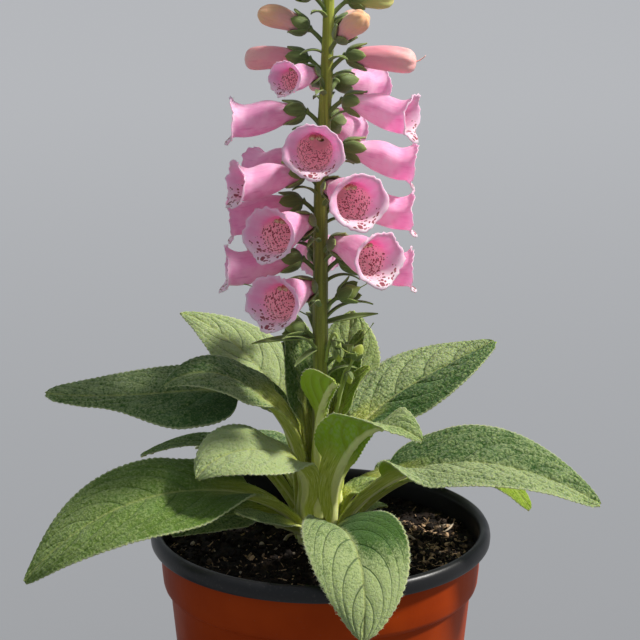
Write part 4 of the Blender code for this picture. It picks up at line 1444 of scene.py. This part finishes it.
def makeGreenFinishes():
    skin = living(0.35, 0.25, 0.5, 0.2, (0.8, 1.2, 0.25))
    stem = Finish("stemSkin", skin)
    where = stem.place()
    long = stem.streaks(where, (1.0, 1.0, 0.05), 700.0, 3.0)
    cloud = stem.grain(where, 30.0, 3.0)
    down = stem.grain(where, 1800.0, 2.0)
    colour = stem.blend(long.ease(0.35, 0.7), greenShape["stem"], greenShape["stemLight"])
    colour = stem.blend(cloud.ease(0.5, 0.75) * 0.35, colour, greenShape["stemRed"])
    tall = stem.axes(where)[2]
    colour = stem.blend(tall.ease(0.36, 0.44) * 0.4, colour, greenShape["stemTop"])
    colour = stem.blend((1 - tall.ease(0.30, 0.37)) * 0.3, colour, greenShape["stemShade"])
    stem.dress(colour, 0.5 + down * 0.25, long + down * 0.5, 0.4, 0.0004)
    calyx = Finish("calyxSkin", skin)
    chart = calyx.flat()
    where = calyx.place()
    cloud = calyx.grain(where, 60.0, 3.0)
    down = calyx.grain(where, 1500.0, 3.0)
    veins = calyx.streaks(chart, (1.0, 0.08, 1.0), 140.0, 2.0)
    light = calyx.mark("light")
    share = (veins * 0.4 + cloud * 0.6 + light * 0.7 - 0.35).ease(0.1, 0.9)
    colour = calyx.blend(share, greenShape["calyx"], greenShape["calyxLight"])
    colour = calyx.blend(light.ease(0.7, 1.3), colour, greenShape["budGreen"])
    calyx.dress(colour, 0.5 + down * 0.25, veins + down * 0.6, 0.4, 0.0004)
    return stem, calyx


def growStalk(bm, height, azimuth, root, forward):
    draw = hairShape["draw"]
    way = heading(azimuth)
    foot = axisPoint(height - 8.0) + way     # inside the stem
    knee = axisPoint(height) + way * 5.2 - Vector((0, 0, 3.4))
    neck = knee + (root - knee) * 0.25 + Vector((0, 0, 0.4))
    handles = (foot, foot.lerp(knee, 0.7), neck, root + forward * 0.6)

    def radius(t):
        return between(1.25, 1.05, t) + 0.9 * bell(t, 0.12) + 1.1 * easeStep(t, 0.82, 1.0)

    growTube(bm, lambda t: alongCurve(handles, t), radius, 12, 18, lambda v: 0.35)
    for _ in range(hairShape["perStalk"]):
        t = draw.uniform(0.15, 1.0)
        around = heading(draw.uniform(0, 360)) + Vector((0, 0, draw.gauss(0, 0.7)))
        growHair("stem", alongCurve(handles, t) + around.normalized() * radius(t) * 0.8, around, 0.8)


def growCalyx(bm, frame, size, seed, spread=0.0):
    root, forward, up, side = frame
    draw = random.Random(seed)
    for sepal in range(5):
        middle = math.tau * (sepal / 5 + 0.02 * draw.uniform(-1, 1)) + (0.06 if sepal % 2 else 0.0)
        long = greenShape["sepalLength"] * draw.uniform(0.92, 1.06)
        curl = draw.uniform(-0.4, 0.9)
        wide = draw.uniform(0.92, 1.08)

        def place(u, v):
            across = 2 * u - 1
            reach = long * v
            broad = greenShape["sepalHalf"] * wide * (1 - v**3.2) ** 0.7 * easeStep(v, -0.25, 0.35)
            opened = spread * 9 * easeStep(reach, 4.0, 13.0)
            radius = curveAt(greenShape["cup"], reach) + opened + curl * v**4
            angle = middle + across * broad / max(radius, 1.5)
            keel = 0.35 * bell(across, 0.3) * (1 - v**2)
            lap = 0.35 * across * easeStep(v, 0.0, 0.3)
            rough = 0.2 * noise.noise(Vector((across * 1.5, v * 4, sepal + seed)))
            radius += keel + lap + rough
            out = up * math.cos(angle) * radius + side * math.sin(angle) * radius
            point = root + (forward * reach + out) * size
            light = 0.2 + 0.4 * v**3 + 0.25 * abs(across) ** 4
            return point, (across * broad / 100 + sepal * 0.1, reach / 100), (light,)

        growSheet(bm, 6, 8, place, ("light",))
        for _ in range(hairShape["perSepal"]):
            u, v = hairShape["draw"].choice((0.0, 0.3, 0.7, 1.0)), hairShape["draw"].uniform(0.2, 1.0)
            end = place(u, v)[0]
            growHair("stem", end, end - root - forward * (end - root).dot(forward) * 0.7, 0.9 * size)


def growBract(bm, height, azimuth, length, half, seed, rise=48, fall=78, roll=0):
    way = heading(azimuth)
    side = way.cross(Vector((0, 0, 1)))
    side = side * math.cos(math.radians(roll)) - Vector((0, 0, math.sin(math.radians(roll))))
    points = [axisPoint(height) + way * (axisRadius(height) - 1.0)]
    tangents = []
    rows = 14
    for i in range(rows + 1):
        share = i / rows
        tilt = math.radians(rise - fall * share + 14 * math.sin(seed))
        tangent = way * math.cos(tilt) + Vector((0, 0, math.sin(tilt)))
        tangents.append(tangent)
        points.append(points[-1] + tangent * length / rows)

    def place(u, v):
        i = round(v * rows)
        across = 2 * u - 1
        normal = side.cross(tangents[i]).normalized()
        width = half * (0.55 + 1.35 * v) * (1 - v**1.6) + 0.12
        curl = 0.35 * half * across**2 * (1 - v)
        bend = 0.35 * math.sin(seed * 2 + 3 * v) * v
        point = points[i] + side * (across * width + bend) + normal * (curl - 0.25 * bell(across, 0.3))
        return point, (across * width / 100, v * length / 100), (0.35 + 0.4 * abs(across) ** 3,)

    growSheet(bm, 6, rows, place, ("light",))
    for edge in (0.0, 1.0):
        for _ in range(round(length)):
            v = hairShape["draw"].random()
            end = place(edge, round(v * rows) / rows)[0]
            growHair("stem", end, side * (2 * edge - 1), 0.9)


def makeGreens():
    stemFinish, calyxFinish = makeGreenFinishes()
    profile = stemShape["profile"]
    low, high = profile[0][0], profile[-1][0]
    bm = bmesh.new()

    def stemSurface(u, v):
        height = between(low, high, v)
        radius = curveAt(profile, height)
        angle = math.tau * u
        ribs = 0.05 * math.cos(5 * angle + height / 60) + 0.03 * math.cos(11 * angle - height / 45)
        swell = 0.05 * noise.noise(Vector((0.0, 0.0, height / 9)))
        point = axisPoint(height) + heading(math.degrees(angle)) * radius * (1 + ribs + swell)
        return point, (u * 0.3, height / 100), (0.0,)

    growSheet(bm, stemShape["columns"], stemShape["rows"], stemSurface, ("light",), wrap=True)
    closeHoles(bm)
    finishPiece("stemCore", bm, [stemFinish], "stem", "flower_stem")
    for _ in range(stemShape["hairs"]):
        u = hairShape["draw"].random()
        height = hairShape["draw"].uniform(stemShape["hairFoot"], stemShape["hairTop"])
        point = stemSurface(u, (height - low) / (high - low))[0]
        growHair("stem", point, heading(360 * u), 0.9)

    stalks, cups, bracts = bmesh.new(), bmesh.new(), bmesh.new()
    for seed, facts in enumerate(bloomPlan.values()):
        height, azimuth, droop, size, _ = facts
        frameHere = bloomFrame(height, azimuth, droop)
        growStalk(stalks, height, azimuth, *frameHere[:2])
        growCalyx(cups, frameHere, size, seed * 1.3)
        length = between(21, 12, (height - 280) / 150)
        growBract(bracts, height - 12, azimuth + 14, length, 2.0, seed)
    for seed, facts in enumerate(spentPlan.values()):
        height, azimuth, droop, size, spread = facts
        frameHere = bloomFrame(height, azimuth, droop)
        growStalk(stalks, height, azimuth, *frameHere[:2])
        growCalyx(cups, frameHere, size, seed * 2.1 + 50, spread)
        growBract(bracts, height - 12, azimuth + 16, 30 * size, 2.9 * size, seed + 0.4)
        root, forward = frameHere[:2]
        case = greenShape["case"]
        first, last = case[0][0], case[-1][0]
        growTube(
            stalks, lambda t: root + forward * between(first, last, t) * size,
            lambda t: curveAt(case, between(first, last, t)) * size, 16, 14, lambda v: 0.9,
        )
        tip = root + forward * 14.0 * size
        bends = ((0, 0), (5, 0), (9, 2), (13, 5))
        ends = [tip + forward * out + Vector((0, 0, rise)) for out, rise in bends]
        growTube(
            stalks, lambda t: alongCurve(ends, t),
            lambda t: 0.28 - 0.1 * t + 0.2 * bell(1 - t, 0.06), 6, 14, lambda v: 1.0,
        )
    for height, azimuth, length, half, rise, fall, roll in greenShape["longBracts"]:
        growBract(bracts, height, azimuth, length, half, 0.0, rise, fall, roll)
    for points, thick in greenShape["threads"]:
        ends = [Vector(point) for point in points]
        growTube(
            stalks, lambda t: alongCurve(ends, t),
            lambda t: thick * (1 - 0.3 * t) + 0.35 * bell(1 - t, 0.04), 8, 22, lambda v: 0.9,
        )
    for foot, way, length in greenShape["sideBuds"]:
        foot, way = Vector(foot), Vector(way).normalized()
        growTube(
            stalks, lambda t: foot + way * t * length,
            lambda t: length * (0.06 + 0.28 * math.sin(math.pi * min(t, 1.0) ** 0.8) ** 0.8),
            12, 12, lambda v: 1.3,
        )
        side = way.cross(Vector((0, 1, 0.2))).normalized()
        growCalyx(cups, (foot, way, side.cross(way), side), length / 17, length)
    count = greenShape["tipBuds"]
    for i in range(count):
        share = i / (count - 1)
        height = between(greenShape["tipFoot"], greenShape["tipTop"], share**0.9)
        length, rise = between(17, 7, share), math.radians(between(28, 70, share))
        azimuth = greenShape["tipTurn"] * i
        way = heading(azimuth)
        forward = way * math.cos(rise) + Vector((0, 0, math.sin(rise)))
        side = forward.cross(Vector((0, 0, 1))).normalized()
        root = axisPoint(height) + way * 0.4
        egg = greenShape["egg"]
        end = egg[-1][0]
        growTube(
            stalks, lambda t: root + forward * t * length * end,
            lambda t: curveAt(egg, t * end) * length, 14, 14, lambda v: 0.5 + 0.4 * v,
        )
        frameHere = (root + forward * length * 0.12, forward, side.cross(forward), side)
        growCalyx(cups, frameHere, length / 24, i)
        growBract(bracts, height - 1, azimuth, length * 0.9, 1.3, i)
    finishPiece("stemStalks", stalks, [calyxFinish], "stem")
    thicken(finishPiece("calyxCups", cups, [calyxFinish], "stem"), greenShape["calyxWall"])
    thicken(finishPiece("bracts", bracts, [calyxFinish], "stem"), greenShape["bractWall"])


makeGreens()
makeHairs()
print("stem, calyxes and down made")

# Setting: pale floor, soft light, and the camera at the photograph's angle.
stageShape = {
    "floorNear": paint(0.232, 0.240, 0.256),
    "floorFar": paint(0.306, 0.314, 0.336),
    "cameraPlace": (-0.00027, -1.0, 0.5336),
    "cameraPitch": 15.24,
    "lens": 112.97,
    "sunFrom": (0.66, -0.03, 0.75),
    "sunStrength": 4.8,
    "sunSpread": 0.12,
    "sunColour": (1.0, 0.97, 0.92),
    "sky": (0.86, 0.93, 1.0, 1.0),
    "skyStrength": 0.42,
}


def makeStage():
    bm = bmesh.new()
    bmesh.ops.create_grid(bm, x_segments=1, y_segments=1, size=40.0)
    floor = addObject("floor", meshFrom(bm, "floor"))
    ground = Finish("floorPaint", {"Roughness": 0.9, "Specular IOR Level": 0.1})
    away = ground.axes(ground.place())[1].ease(0.0, 2.6) ** 0.6
    ground.feed("Base Color", ground.blend(away, stageShape["floorNear"], stageShape["floorFar"]))
    floor.data.materials.append(ground.material)
    sun = bpy.data.lights.new("sun", "SUN")
    sun.energy = stageShape["sunStrength"]
    sun.angle = stageShape["sunSpread"]
    sun.color = stageShape["sunColour"]
    lamp = addObject("sun", sun)
    lamp.rotation_euler = Vector(stageShape["sunFrom"]).to_track_quat("Z", "Y").to_euler()
    world = bpy.data.worlds.new("studio")
    world.use_nodes = True
    sky = world.node_tree.nodes["Background"]
    sky.inputs["Color"].default_value = stageShape["sky"]
    sky.inputs["Strength"].default_value = stageShape["skyStrength"]
    bpy.context.scene.world = world
    lens = bpy.data.cameras.new("camera")
    lens.lens = stageShape["lens"]
    lens.sensor_width = 36.0
    camera = addObject("camera", lens)
    camera.location = stageShape["cameraPlace"]
    camera.rotation_euler = (math.radians(90 - stageShape["cameraPitch"]), 0, 0)
    bpy.context.scene.camera = camera
    bpy.context.scene.view_settings.view_transform = "Standard"


makeStage()
print("stage made")
